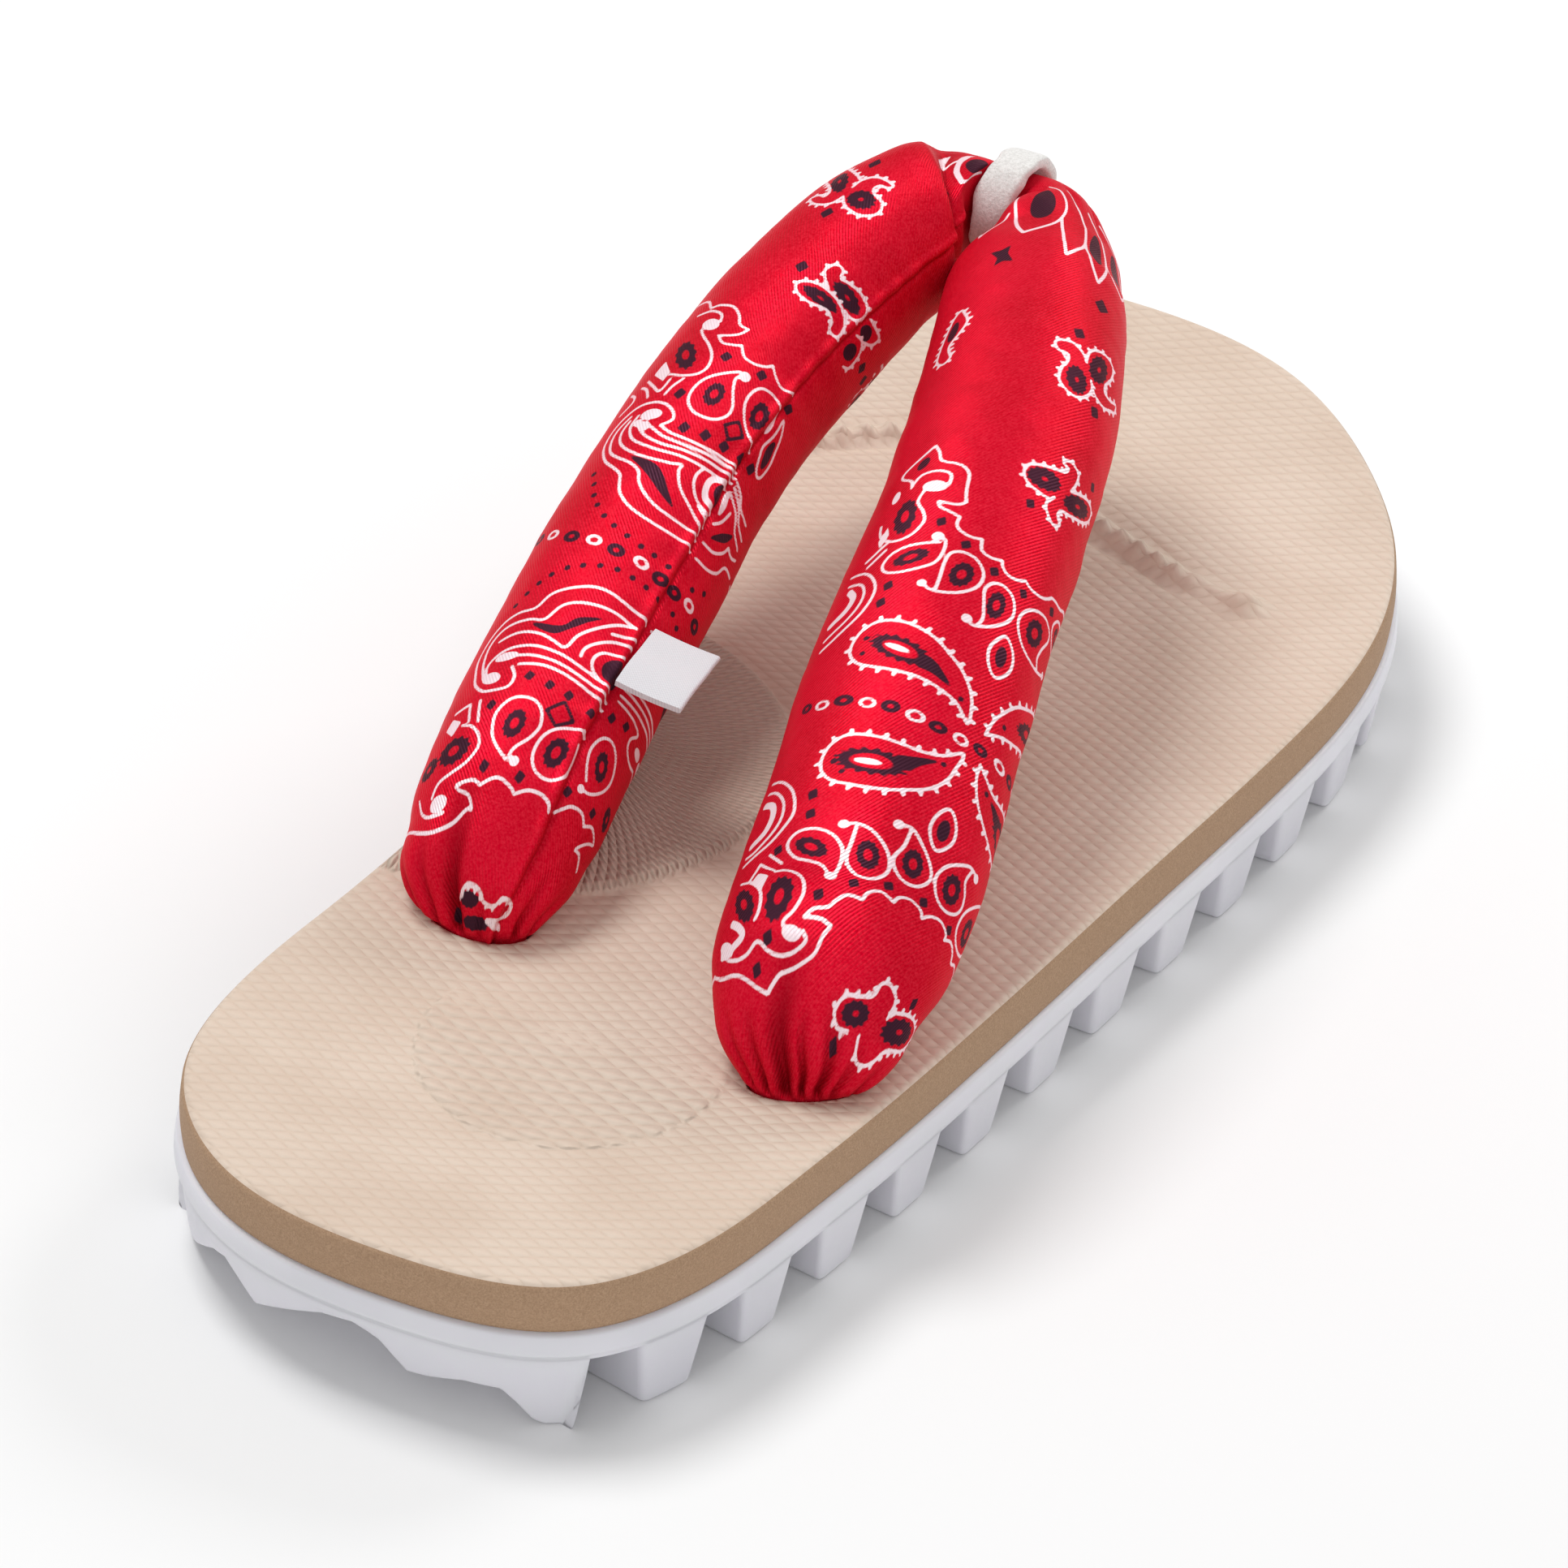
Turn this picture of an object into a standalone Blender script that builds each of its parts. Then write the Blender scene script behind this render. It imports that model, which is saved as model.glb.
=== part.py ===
# Geta-style sandal for the right foot, standing on its sole.
# +Y points to the toe, +X to the outer side of the foot, +Z up.
# The origin is the middle of the sole's box, on the floor.
# Sizes are in millimetres until a mesh is made.

import bpy
import bmesh
import numpy as np
from math import cos, pi, sin
from mathutils import Vector

MILLIMETRE = 0.001

# Sole
SOLE_LENGTH = 292.0
SOLE_WIDTH = 127.5
LUG_HEIGHT = 11.6
RIM_HEIGHT = 4.6
RIM_BULGE = 0.9
LUG_TAPER = 1.5
FOOTBED_THICKNESS = 7.9
CLEARANCE = 0.3
SOCKET_CLEARANCE = 0.5
TOE_SPRING = 7.2
TOE_SPRING_START = 52.0
HEEL_RISE = 1.2
HEEL_RISE_START = -95.0

# Lugs: cross bars left standing between straight notches
NOTCH_COUNT = 14
OUTER_FIRST_NOTCH = 34.4
OUTER_NOTCH_PITCH = 19.2
INNER_FIRST_NOTCH = 62.0
INNER_NOTCH_PITCH = 17.1
NOTCH_HALF_TOP = 3.7
NOTCH_HALF_BOTTOM = 6.0
NOTCH_OVERHANG = 9.0
NOTCH_BELOW = 3.0
SKIRT_DEPTH = 13.0
SKIRT_OVERHANG = 4.0

# Footbed surface
EDGE_ROUND = 1.4
HEEL_DISH_DEPTH = 2.4
BALL_DISH_DEPTH = 1.2
ARCH_RAISE = 3.2

# Strap
STRAP_RADIUS = 16.5
NECK = Vector((-11.0, 90.5, 75.5))
STRAP_SIDES = 24
STRAP_STEPS = 3

# Toe loop
LOOP_WIDTH = 6.6
LOOP_THICKNESS = 2.2
LOOP_HOLE_RADIUS = 6.6
POST_HALF_DEPTH = 5.0
POST_FOOT = Vector((-11.0, 87.5, 20.6))
LOOP_ARC_STEPS = 20

# Label
LABEL_LENGTH = 15.0
LABEL_DROP = 11.5
LABEL_THICKNESS = 1.2
LABEL_CENTRE = Vector((-11.5, -28.6, 51.3))
LABEL_ALONG = Vector((-0.24, 0.96, 0.13))
LABEL_DOWN = Vector((0.96, 0.23, -0.17))

# Outline of the sole, in shares of its length from the heel and of its width from the axis
# columns: length share, inner side share, outer side share
OUTLINE = (
    (0.020, -0.205, 0.222),
    (0.089, -0.352, 0.318),
    (0.158, -0.381, 0.352),
    (0.226, -0.372, 0.379),
    (0.295, -0.351, 0.401),
    (0.363, -0.334, 0.420),
    (0.432, -0.329, 0.438),
    (0.500, -0.345, 0.456),
    (0.568, -0.384, 0.475),
    (0.637, -0.431, 0.491),
    (0.705, -0.473, 0.500),
    (0.774, -0.497, 0.489),
    (0.842, -0.497, 0.442),
    (0.911, -0.458, 0.340),
    (0.972, -0.368, 0.180),
)
HEEL_END_SHARE = 0.020
TOE_END_SHARE = -0.095

# Side of the rim, from the footbed down to the lugs
# columns: height share of the rim, outward share of its bulge
RIM_PROFILE = (
    (1.00, 0.10),
    (0.90, 0.95),
    (0.42, 1.00),
    (0.32, 0.30),
    (0.22, 0.30),
    (0.12, 0.90),
    (0.00, 0.55),
)

# Lower edge of the heel skirt, from the inner corner to the outer corner
# columns: distance along the outline from the heel's end, height above the floor
SKIRT_WAVE = (
    (-49.0, -1.0),
    (-43.0, 2.6),
    (-34.0, 7.7),
    (-30.0, 8.7),
    (-27.0, 7.0),
    (-23.4, 4.5),
    (-16.4, 7.1),
    (-10.3, 9.4),
    (-5.0, 10.2),
    (-0.8, 8.6),
    (3.4, 4.7),
    (6.7, 4.9),
    (12.3, 5.9),
    (17.7, 5.7),
    (20.0, 3.5),
    (22.3, 0.8),
    (24.0, -1.0),
)

# Strap centre line from the outer end, over the neck, to the inner end
# columns: sideways, forward and up in millimetres, half width share, half depth share
OUTER_ARM = (
    (35.0, -80.5, 21.2, 0.42, 0.22),
    (34.8, -80.0, 25.0, 0.50, 0.30),
    (34.0, -77.3, 30.3, 0.78, 0.47),
    (32.8, -70.2, 35.1, 0.99, 0.64),
    (31.4, -60.0, 38.4, 1.07, 0.80),
    (29.3, -46.5, 43.9, 1.08, 0.87),
    (25.4, -27.4, 51.2, 1.06, 0.88),
    (21.6, -6.8, 57.9, 1.03, 0.88),
    (17.5, 16.3, 63.5, 1.00, 0.88),
    (11.4, 41.0, 67.8, 0.97, 0.88),
    (5.8, 58.0, 70.0, 0.93, 0.86),
    (2.4, 69.5, 71.6, 0.84, 0.79),
    (0.9, 78.5, 73.2, 0.66, 0.64),
    (-2.0, 85.8, 74.8, 0.48, 0.49),
    (-6.0, 89.4, 75.3, 0.39, 0.40),
)
NECK_ROW = (-11.0, 90.5, 75.5, 0.35, 0.35)
INNER_ARM = (
    (-16.0, 89.6, 75.5, 0.40, 0.42),
    (-20.3, 86.2, 76.4, 0.55, 0.57),
    (-23.8, 79.4, 75.4, 0.71, 0.73),
    (-26.6, 69.6, 72.8, 0.84, 0.82),
    (-30.2, 54.5, 67.6, 0.88, 0.85),
    (-33.0, 36.0, 62.2, 0.88, 0.84),
    (-33.0, 15.0, 57.0, 0.88, 0.83),
    (-31.8, -8.0, 49.4, 0.90, 0.83),
    (-30.4, -28.7, 42.5, 0.91, 0.82),
    (-28.6, -45.0, 37.6, 0.91, 0.76),
    (-26.8, -56.0, 33.9, 0.87, 0.66),
    (-25.4, -63.2, 30.0, 0.72, 0.48),
    (-24.9, -66.4, 25.2, 0.50, 0.28),
    (-24.8, -67.0, 21.2, 0.42, 0.22),
)

# Mesh density
OUTLINE_ROWS = 72
TOP_COLUMNS = 12
BOTTOM_COLUMNS = 3

# Colours
OUTSOLE_COLOUR = (0.62, 0.61, 0.68, 1.0)
FOOTBED_COLOUR = (0.66, 0.53, 0.41, 1.0)
STRAP_COLOUR = (0.60, 0.01, 0.03, 1.0)
LOOP_COLOUR = (0.78, 0.77, 0.74, 1.0)
LABEL_COLOUR = (0.85, 0.85, 0.84, 1.0)


def clear_scene():
    """Remove whatever the file already holds."""
    for old in list(bpy.data.objects):
        bpy.data.objects.remove(old, do_unlink=True)


def closed_spline(points, samples):
    """Return points spaced evenly along a smooth closed curve through the given ones."""
    knots = np.array(points, dtype=float)
    count = len(knots)
    following = np.roll(knots, -1, axis=0)
    spans = np.linalg.norm(following - knots, axis=1)
    before = np.roll(spans, 1)
    system = np.zeros((count, count))
    right_side = np.zeros((count, 2))
    slope_after = (following - knots) / spans[:, None]
    slope_before = np.roll(slope_after, 1, axis=0)
    for row in range(count):
        system[row, row - 1] += spans[row]
        system[row, row] += 2.0 * (spans[row] + before[row])
        system[row, (row + 1) % count] += before[row]
        right_side[row] = 3.0 * (spans[row] * slope_before[row] + before[row] * slope_after[row])
    tangents = np.linalg.solve(system, right_side)
    dense = []
    for row in range(count):
        end = (row + 1) % count
        for share in np.linspace(0.0, 1.0, 24, endpoint=False):
            dense.append(hermite(knots[row], knots[end], tangents[row], tangents[end], spans[row], share))
    return even_loop(np.array(dense), samples)


def hermite(start, end, start_slope, end_slope, span, share):
    """Return a point on the cubic between two knots."""
    square = share * share
    cube = square * share
    return (
        (2.0 * cube - 3.0 * square + 1.0) * start
        + (cube - 2.0 * square + share) * span * start_slope
        + (3.0 * square - 2.0 * cube) * end
        + (cube - square) * span * end_slope
    )


def even_loop(dense, samples):
    """Resample a closed run of points at equal distances, keeping the first one."""
    closed = np.vstack([dense, dense[:1]])
    steps = np.linalg.norm(np.diff(closed, axis=0), axis=1)
    travelled = np.concatenate([[0.0], np.cumsum(steps)])
    wanted = np.linspace(0.0, travelled[-1], samples, endpoint=False)
    sideways = np.interp(wanted, travelled, closed[:, 0])
    forward = np.interp(wanted, travelled, closed[:, 1])
    return np.column_stack([sideways, forward])


def sole_outline():
    """Return the outline: heel end first, forward on the outer side, back on the inner side."""
    points = [(HEEL_END_SHARE * SOLE_WIDTH, -SOLE_LENGTH / 2.0)]
    for length_share, _, outer_share in OUTLINE:
        points.append((outer_share * SOLE_WIDTH, (length_share - 0.5) * SOLE_LENGTH))
    points.append((TOE_END_SHARE * SOLE_WIDTH, SOLE_LENGTH / 2.0))
    for length_share, inner_share, _ in reversed(OUTLINE):
        points.append((inner_share * SOLE_WIDTH, (length_share - 0.5) * SOLE_LENGTH))
    return closed_spline(points, 2 * OUTLINE_ROWS)


def outward_normals(loop):
    """Return the unit normals that point out of a loop that runs anticlockwise."""
    tangents = np.roll(loop, -1, axis=0) - np.roll(loop, 1, axis=0)
    normals = np.column_stack([tangents[:, 1], -tangents[:, 0]])
    return normals / np.linalg.norm(normals, axis=1)[:, None]


def grown(loop, distance):
    """Return the loop moved outward by a distance."""
    return loop + outward_normals(loop) * distance


def at_distance(loop, distance):
    """Return the point and outward normal at a signed distance from the loop's start."""
    step = np.linalg.norm(np.roll(loop, -1, axis=0) - loop, axis=1).mean()
    place = distance / step
    first = int(np.floor(place))
    share = place - first
    count = len(loop)
    normals = outward_normals(loop)
    point = loop[first % count] * (1.0 - share) + loop[(first + 1) % count] * share
    normal = normals[first % count] * (1.0 - share) + normals[(first + 1) % count] * share
    return point, normal / np.linalg.norm(normal)


def toe_lift(forward):
    """Return how far the sole springs up towards the toe."""
    reach = SOLE_LENGTH / 2.0 - TOE_SPRING_START
    share = max(0.0, (forward - TOE_SPRING_START) / reach)
    return TOE_SPRING * share * share


def rim_lift(forward):
    """Return how far the rim and footbed rise at the toe and the heel."""
    reach = SOLE_LENGTH / 2.0 + HEEL_RISE_START
    share = max(0.0, (HEEL_RISE_START - forward) / reach)
    return toe_lift(forward) + HEEL_RISE * share * share


def bump(sideways, forward, centre, radii):
    """Return a smooth hill of height one inside an ellipse."""
    across = (sideways - centre[0]) / radii[0]
    along = (forward - centre[1]) / radii[1]
    reach = min(1.0, across * across + along * along)
    return (1.0 - reach) ** 2


def rim_top(sideways, forward):
    """Return the height of the outsole's upper face."""
    return LUG_HEIGHT + RIM_HEIGHT + rim_lift(forward)


def footbed_bottom(sideways, forward):
    """Return the height of the footbed's underside."""
    return rim_top(sideways, forward) + CLEARANCE


def footbed_top(sideways, forward):
    """Return the height of the footbed's upper face, with its dishes and its arch."""
    height = rim_top(sideways, forward) + CLEARANCE + FOOTBED_THICKNESS
    height -= HEEL_DISH_DEPTH * bump(sideways, forward, (-2.0, -92.0), (46.0, 52.0))
    height -= BALL_DISH_DEPTH * bump(sideways, forward, (2.0, 58.0), (60.0, 46.0))
    height += ARCH_RAISE * bump(sideways, forward, (-36.0, -22.0), (27.0, 62.0))
    return height


def lug_foot(sideways, forward):
    """Return the height of the lugs' undersides."""
    return toe_lift(forward)


def add_ring(vertices, loop, height):
    """Add one ring of vertices and return their indices."""
    first = len(vertices)
    for sideways, forward in loop:
        vertices.append((sideways, forward, height(sideways, forward)))
    return list(range(first, len(vertices)))


def wall(faces, lower, upper):
    """Join two rings with quads."""
    count = len(lower)
    for place in range(count):
        following = (place + 1) % count
        faces.append((lower[place], lower[following], upper[following], upper[place]))


def cover(vertices, faces, ring, columns, height):
    """Close a ring with rows that run from its outer side to its inner side."""
    rows = len(ring) // 2
    lines = []
    for row in range(1, rows):
        start = ring[row]
        end = ring[-row]
        line = [start]
        for column in range(1, columns):
            share = (1.0 - cos(pi * column / columns)) / 2.0
            sideways = vertices[start][0] * (1.0 - share) + vertices[end][0] * share
            forward = vertices[start][1] * (1.0 - share) + vertices[end][1] * share
            vertices.append((sideways, forward, height(sideways, forward)))
            line.append(len(vertices) - 1)
        line.append(end)
        lines.append(line)
    for near, far in zip(lines, lines[1:]):
        for column in range(columns):
            faces.append((near[column], near[column + 1], far[column + 1], far[column]))
    for column in range(columns):
        faces.append((ring[0], lines[0][column], lines[0][column + 1]))
        faces.append((ring[rows], lines[-1][column + 1], lines[-1][column]))


def make_material(name, colour, roughness):
    """Return a plain Principled material."""
    material = bpy.data.materials.new(name)
    material.use_nodes = True
    shader = material.node_tree.nodes["Principled BSDF"]
    shader.inputs["Base Color"].default_value = colour
    shader.inputs["Roughness"].default_value = roughness
    material.diffuse_color = colour
    return material


def make_object(name, vertices, faces, material=None, smooth_below=None):
    """Make a mesh object from millimetre vertices, with its faces turned outward."""
    mesh = bpy.data.meshes.new(name)
    scaled = [tuple(value * MILLIMETRE for value in vertex) for vertex in vertices]
    mesh.from_pydata(scaled, [], faces)
    editable = bmesh.new()
    editable.from_mesh(mesh)
    bmesh.ops.recalc_face_normals(editable, faces=editable.faces)
    editable.to_mesh(mesh)
    editable.free()
    if smooth_below is not None:
        mesh.shade_smooth()
        mesh.set_sharp_from_angle(angle=smooth_below)
    if material is not None:
        mesh.materials.append(material)
    made = bpy.data.objects.new(name, mesh)
    bpy.context.scene.collection.objects.link(made)
    return made


def cut(target, cutter):
    """Cut one object out of another and hide the cutter."""
    cutter.hide_render = True
    cutter.display_type = "WIRE"
    modifier = target.modifiers.new("cut_" + cutter.name, "BOOLEAN")
    modifier.operation = "DIFFERENCE"
    modifier.solver = "EXACT"
    modifier.object = cutter


def make_footbed(outline, material):
    """Make the moulded footbed slab with a rounded upper edge."""
    vertices = []
    faces = []
    bottom = add_ring(vertices, outline, footbed_bottom)
    shoulder = add_ring(vertices, outline, lambda x, y: footbed_top(x, y) - EDGE_ROUND)
    middle = add_ring(
        vertices,
        grown(outline, -0.3 * EDGE_ROUND),
        lambda x, y: footbed_top(x, y) - 0.3 * EDGE_ROUND,
    )
    top = add_ring(vertices, grown(outline, -EDGE_ROUND), footbed_top)
    wall(faces, bottom, shoulder)
    wall(faces, shoulder, middle)
    wall(faces, middle, top)
    cover(vertices, faces, top, TOP_COLUMNS, footbed_top)
    cover(vertices, faces, bottom, BOTTOM_COLUMNS, footbed_bottom)
    return make_object("footbed", vertices, faces, material, 0.6)


def make_outsole(outline, material):
    """Make the rim and the full-depth lug body, still without its notches."""
    vertices = []
    faces = []
    rings = []
    for height_share, bulge_share in RIM_PROFILE:
        rings.append(
            add_ring(
                vertices,
                grown(outline, RIM_BULGE * bulge_share),
                lambda x, y, share=height_share: LUG_HEIGHT + RIM_HEIGHT * share + rim_lift(y),
            )
        )
    foot_loop = grown(outline, RIM_BULGE * RIM_PROFILE[-1][1] - LUG_TAPER)
    rings.append(add_ring(vertices, foot_loop, lug_foot))
    for upper, lower in zip(rings, rings[1:]):
        wall(faces, lower, upper)
    cover(vertices, faces, rings[0], BOTTOM_COLUMNS, rim_top)
    cover(vertices, faces, rings[-1], BOTTOM_COLUMNS, lug_foot)
    return make_object("outsole", vertices, faces, material, 0.5)


def notch_prism(vertices, faces, outline, outer_distance, inner_distance):
    """Add one notch cutter that runs across the sole from side to side."""
    outer, outer_normal = at_distance(outline, outer_distance)
    inner, inner_normal = at_distance(outline, -inner_distance)
    axis = outer - inner
    axis = axis / np.linalg.norm(axis)
    along = np.array([-axis[1], axis[0]])
    ends = (inner - axis * NOTCH_OVERHANG, outer + axis * NOTCH_OVERHANG)
    first = len(vertices)
    for end, edge in zip(ends, (inner, outer)):
        ceiling = LUG_HEIGHT + rim_lift(edge[1])
        for half, height in ((NOTCH_HALF_BOTTOM, -NOTCH_BELOW), (NOTCH_HALF_TOP, ceiling)):
            back = end - along * half
            front = end + along * half
            vertices.append((back[0], back[1], height))
            vertices.append((front[0], front[1], height))
    corners = (
        (0, 1, 3, 2),
        (4, 6, 7, 5),
        (0, 4, 5, 1),
        (2, 3, 7, 6),
        (0, 2, 6, 4),
        (1, 5, 7, 3),
    )
    for face in corners:
        faces.append(tuple(first + corner for corner in face))


def make_notches(outline):
    """Make all the notch cutters as one object."""
    vertices = []
    faces = []
    for number in range(NOTCH_COUNT):
        outer_distance = OUTER_FIRST_NOTCH + number * OUTER_NOTCH_PITCH
        inner_distance = INNER_FIRST_NOTCH + number * INNER_NOTCH_PITCH
        notch_prism(vertices, faces, outline, outer_distance, inner_distance)
    return make_object("notch_cutters", vertices, faces)


def make_skirt_cutter(outline):
    """Make the cutter that shapes the stepped wave under the heel."""
    vertices = []
    faces = []
    rings = []
    for distance, height in SKIRT_WAVE:
        point, normal = at_distance(outline, distance)
        outside = point + normal * SKIRT_OVERHANG
        inside = point - normal * SKIRT_DEPTH
        first = len(vertices)
        vertices.append((outside[0], outside[1], -NOTCH_BELOW))
        vertices.append((outside[0], outside[1], height))
        vertices.append((inside[0], inside[1], height - 0.6))
        vertices.append((inside[0], inside[1], -NOTCH_BELOW))
        rings.append(list(range(first, first + 4)))
    for near, far in zip(rings, rings[1:]):
        wall(faces, near, far)
    faces.append(tuple(rings[0]))
    faces.append(tuple(rings[-1]))
    return make_object("skirt_cutter", vertices, faces)


def strap_stations():
    """Return smooth centre points and half sizes along the whole strap."""
    rows = np.array(OUTER_ARM + (NECK_ROW,) + INNER_ARM)
    stations = []
    last = len(rows) - 1
    for row in range(last):
        before = rows[max(row - 1, 0)]
        start = rows[row]
        end = rows[row + 1]
        after = rows[min(row + 2, last)]
        for step in range(STRAP_STEPS if row < last - 1 else STRAP_STEPS + 1):
            share = step / STRAP_STEPS
            stations.append(catmull_rom(before, start, end, after, share))
    return np.array(stations)


def catmull_rom(before, start, end, after, share):
    """Return a point on the smooth curve from start to end."""
    span = np.linalg.norm(end[:3] - start[:3])
    span_before = max(np.linalg.norm(start[:3] - before[:3]), 0.5 * span)
    span_after = max(np.linalg.norm(after[:3] - end[:3]), 0.5 * span)
    start_slope = (end - before) / (span + span_before)
    end_slope = (after - start) / (span + span_after)
    return hermite(start, end, start_slope, end_slope, span, share)


def strap_frames(stations):
    """Return the width and depth directions of the strap's sections."""
    centres = stations[:, :3]
    tangents = np.gradient(centres, axis=0)
    tangents = tangents / np.linalg.norm(tangents, axis=1)[:, None]
    widths = np.cross(np.array([0.0, 0.0, 1.0]), tangents)
    widths = widths / np.linalg.norm(widths, axis=1)[:, None]
    depths = np.cross(tangents, widths)
    return tangents, widths, depths


def strap_mesh(extra):
    """Return the strap tube, made larger all round by extra."""
    stations = strap_stations()
    tangents, widths, depths = strap_frames(stations)
    vertices = []
    faces = []
    rings = []
    last = len(stations) - 1
    for place, station in enumerate(stations):
        half_width = station[3] * STRAP_RADIUS + extra
        half_depth = station[4] * STRAP_RADIUS + extra
        centre = station[:3]
        if place == 0:
            centre = centre - tangents[place] * extra
        if place == last:
            centre = centre + tangents[place] * extra
        first = len(vertices)
        for side in range(STRAP_SIDES):
            angle = 2.0 * pi * side / STRAP_SIDES
            point = centre + widths[place] * half_width * cos(angle)
            point = point + depths[place] * half_depth * sin(angle)
            vertices.append(tuple(point))
        rings.append(list(range(first, first + STRAP_SIDES)))
    for near, far in zip(rings, rings[1:]):
        wall(faces, near, far)
    faces.append(tuple(rings[0]))
    faces.append(tuple(rings[-1]))
    return vertices, faces


def loop_outline(radius, half_depth, foot):
    """Return the side view of the toe loop: a round head on a tapering post."""
    points = []
    for step in range(LOOP_ARC_STEPS + 1):
        angle = -0.22 * pi + 1.44 * pi * step / LOOP_ARC_STEPS
        points.append((NECK.y + radius * cos(angle), NECK.z + radius * sin(angle)))
    points.append((POST_FOOT.y - half_depth, foot + 0.5 * (NECK.z - foot)))
    points.append((POST_FOOT.y - half_depth, foot))
    points.append((POST_FOOT.y + half_depth, foot))
    points.append((POST_FOOT.y + half_depth, foot + 0.5 * (NECK.z - foot)))
    return points


def make_toe_loop(name, extra, material=None):
    """Make the cloth loop round the neck of the strap, with its post."""
    outer = loop_outline(
        LOOP_HOLE_RADIUS + LOOP_THICKNESS + extra,
        POST_HALF_DEPTH + extra,
        POST_FOOT.z - extra,
    )
    half_width = LOOP_WIDTH / 2.0 + extra
    hole_radius = LOOP_HOLE_RADIUS - extra
    vertices = []
    faces = []
    rings = []
    holes = []
    for sideways in (NECK.x - half_width, NECK.x + half_width):
        first = len(vertices)
        for forward, height in outer:
            vertices.append((sideways, forward, height))
        rings.append(list(range(first, len(vertices))))
        first = len(vertices)
        for forward, height in outer:
            reach = Vector((forward - NECK.y, height - NECK.z)).normalized() * hole_radius
            vertices.append((sideways, NECK.y + reach.x, NECK.z + reach.y))
        holes.append(list(range(first, len(vertices))))
    wall(faces, rings[0], rings[1])
    wall(faces, holes[0], holes[1])
    wall(faces, rings[0], holes[0])
    wall(faces, rings[1], holes[1])
    return make_object(name, vertices, faces, material, 0.7)


def make_size_label(material):
    """Make the small folded ribbon beside the inner arm."""
    along = LABEL_ALONG.normalized()
    down = (LABEL_DOWN - along * LABEL_DOWN.dot(along)).normalized()
    thick = along.cross(down)
    vertices = []
    for across in (-0.5, 0.5):
        for drop in (-0.5, 0.5):
            for side in (-0.5, 0.5):
                corner = LABEL_CENTRE + along * across * LABEL_LENGTH
                corner = corner + down * drop * LABEL_DROP + thick * side * LABEL_THICKNESS
                vertices.append(tuple(corner))
    faces = [(0, 1, 3, 2), (4, 6, 7, 5), (0, 4, 5, 1), (2, 3, 7, 6), (0, 2, 6, 4), (1, 5, 7, 3)]
    return make_object("size_label", vertices, faces, material)


def build():
    """Build the sandal."""
    clear_scene()
    outline = sole_outline()

    outsole = make_outsole(outline, make_material("outsole_rubber", OUTSOLE_COLOUR, 0.5))
    cut(outsole, make_notches(outline))
    cut(outsole, make_skirt_cutter(outline))

    footbed = make_footbed(outline, make_material("footbed_foam", FOOTBED_COLOUR, 0.75))
    strap_material = make_material("strap_cotton", STRAP_COLOUR, 0.6)
    strap_vertices, strap_faces = strap_mesh(0.0)
    strap = make_object("strap", strap_vertices, strap_faces, strap_material, 0.8)
    make_toe_loop("toe_loop", 0.0, make_material("loop_cloth", LOOP_COLOUR, 0.9))
    make_size_label(make_material("label_ribbon", LABEL_COLOUR, 0.8))

    socket_vertices, socket_faces = strap_mesh(SOCKET_CLEARANCE)
    cut(footbed, make_object("strap_sockets", socket_vertices, socket_faces))
    loop_space = make_toe_loop("loop_space", CLEARANCE)
    cut(footbed, loop_space)
    cut(strap, loop_space)


build()
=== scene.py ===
from math import cos, pi, sin, sqrt

import bmesh
import bpy
import numpy as np
from mathutils import Matrix, Vector


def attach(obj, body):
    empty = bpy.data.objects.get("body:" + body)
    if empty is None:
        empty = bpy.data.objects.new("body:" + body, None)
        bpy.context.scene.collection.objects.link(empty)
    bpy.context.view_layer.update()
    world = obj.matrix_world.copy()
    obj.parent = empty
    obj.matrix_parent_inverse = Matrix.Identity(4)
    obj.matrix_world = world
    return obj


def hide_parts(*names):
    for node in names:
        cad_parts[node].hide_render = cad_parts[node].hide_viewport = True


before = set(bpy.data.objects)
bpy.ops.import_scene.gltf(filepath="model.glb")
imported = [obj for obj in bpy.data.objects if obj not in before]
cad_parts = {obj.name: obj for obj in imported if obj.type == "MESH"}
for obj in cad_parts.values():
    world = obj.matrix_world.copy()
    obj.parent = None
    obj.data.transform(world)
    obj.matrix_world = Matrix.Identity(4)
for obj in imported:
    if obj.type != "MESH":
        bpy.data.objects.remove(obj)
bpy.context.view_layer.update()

MM = 0.001

# Sole
SOLE_LENGTH = 292.0
SOLE_WIDTH = 127.5
LUG_HEIGHT = 11.6
RIM_HEIGHT = 4.6
RIM_BULGE = 0.9
LUG_TAPER = 1.5
FOOTBED_THICKNESS = 7.9
CLEARANCE = 0.3
EDGE_ROUND = 1.5
NOTCH_COUNT = 14
OUTER_NOTCHES = (34.4, 19.2)
INNER_NOTCHES = (62.0, 17.1)
NOTCH_HALF_TOP = 3.7
NOTCH_HALF_FOOT = 5.5
SKIRT_DEPTH = 12.5
TOE_SPRING = 7.2
TOE_SPRING_START = 52.0
HEEL_RISE = 1.2
HEEL_RISE_START = -95.0
HEEL_DISH_DEPTH = 2.4
BALL_DISH_DEPTH = 1.2
ARCH_RAISE = 3.2

# Outline: shares of the length, then of the width on the inner and the outer side
HEEL_END = 0.020
TOE_END = -0.095
OUTLINE = (
    (0.020, -0.205, 0.222),
    (0.089, -0.352, 0.318),
    (0.158, -0.381, 0.352),
    (0.226, -0.372, 0.379),
    (0.295, -0.351, 0.401),
    (0.363, -0.334, 0.420),
    (0.432, -0.329, 0.438),
    (0.500, -0.345, 0.456),
    (0.568, -0.384, 0.475),
    (0.637, -0.431, 0.491),
    (0.705, -0.473, 0.500),
    (0.774, -0.497, 0.489),
    (0.842, -0.497, 0.442),
    (0.911, -0.458, 0.340),
    (0.972, -0.368, 0.180),
)

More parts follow.
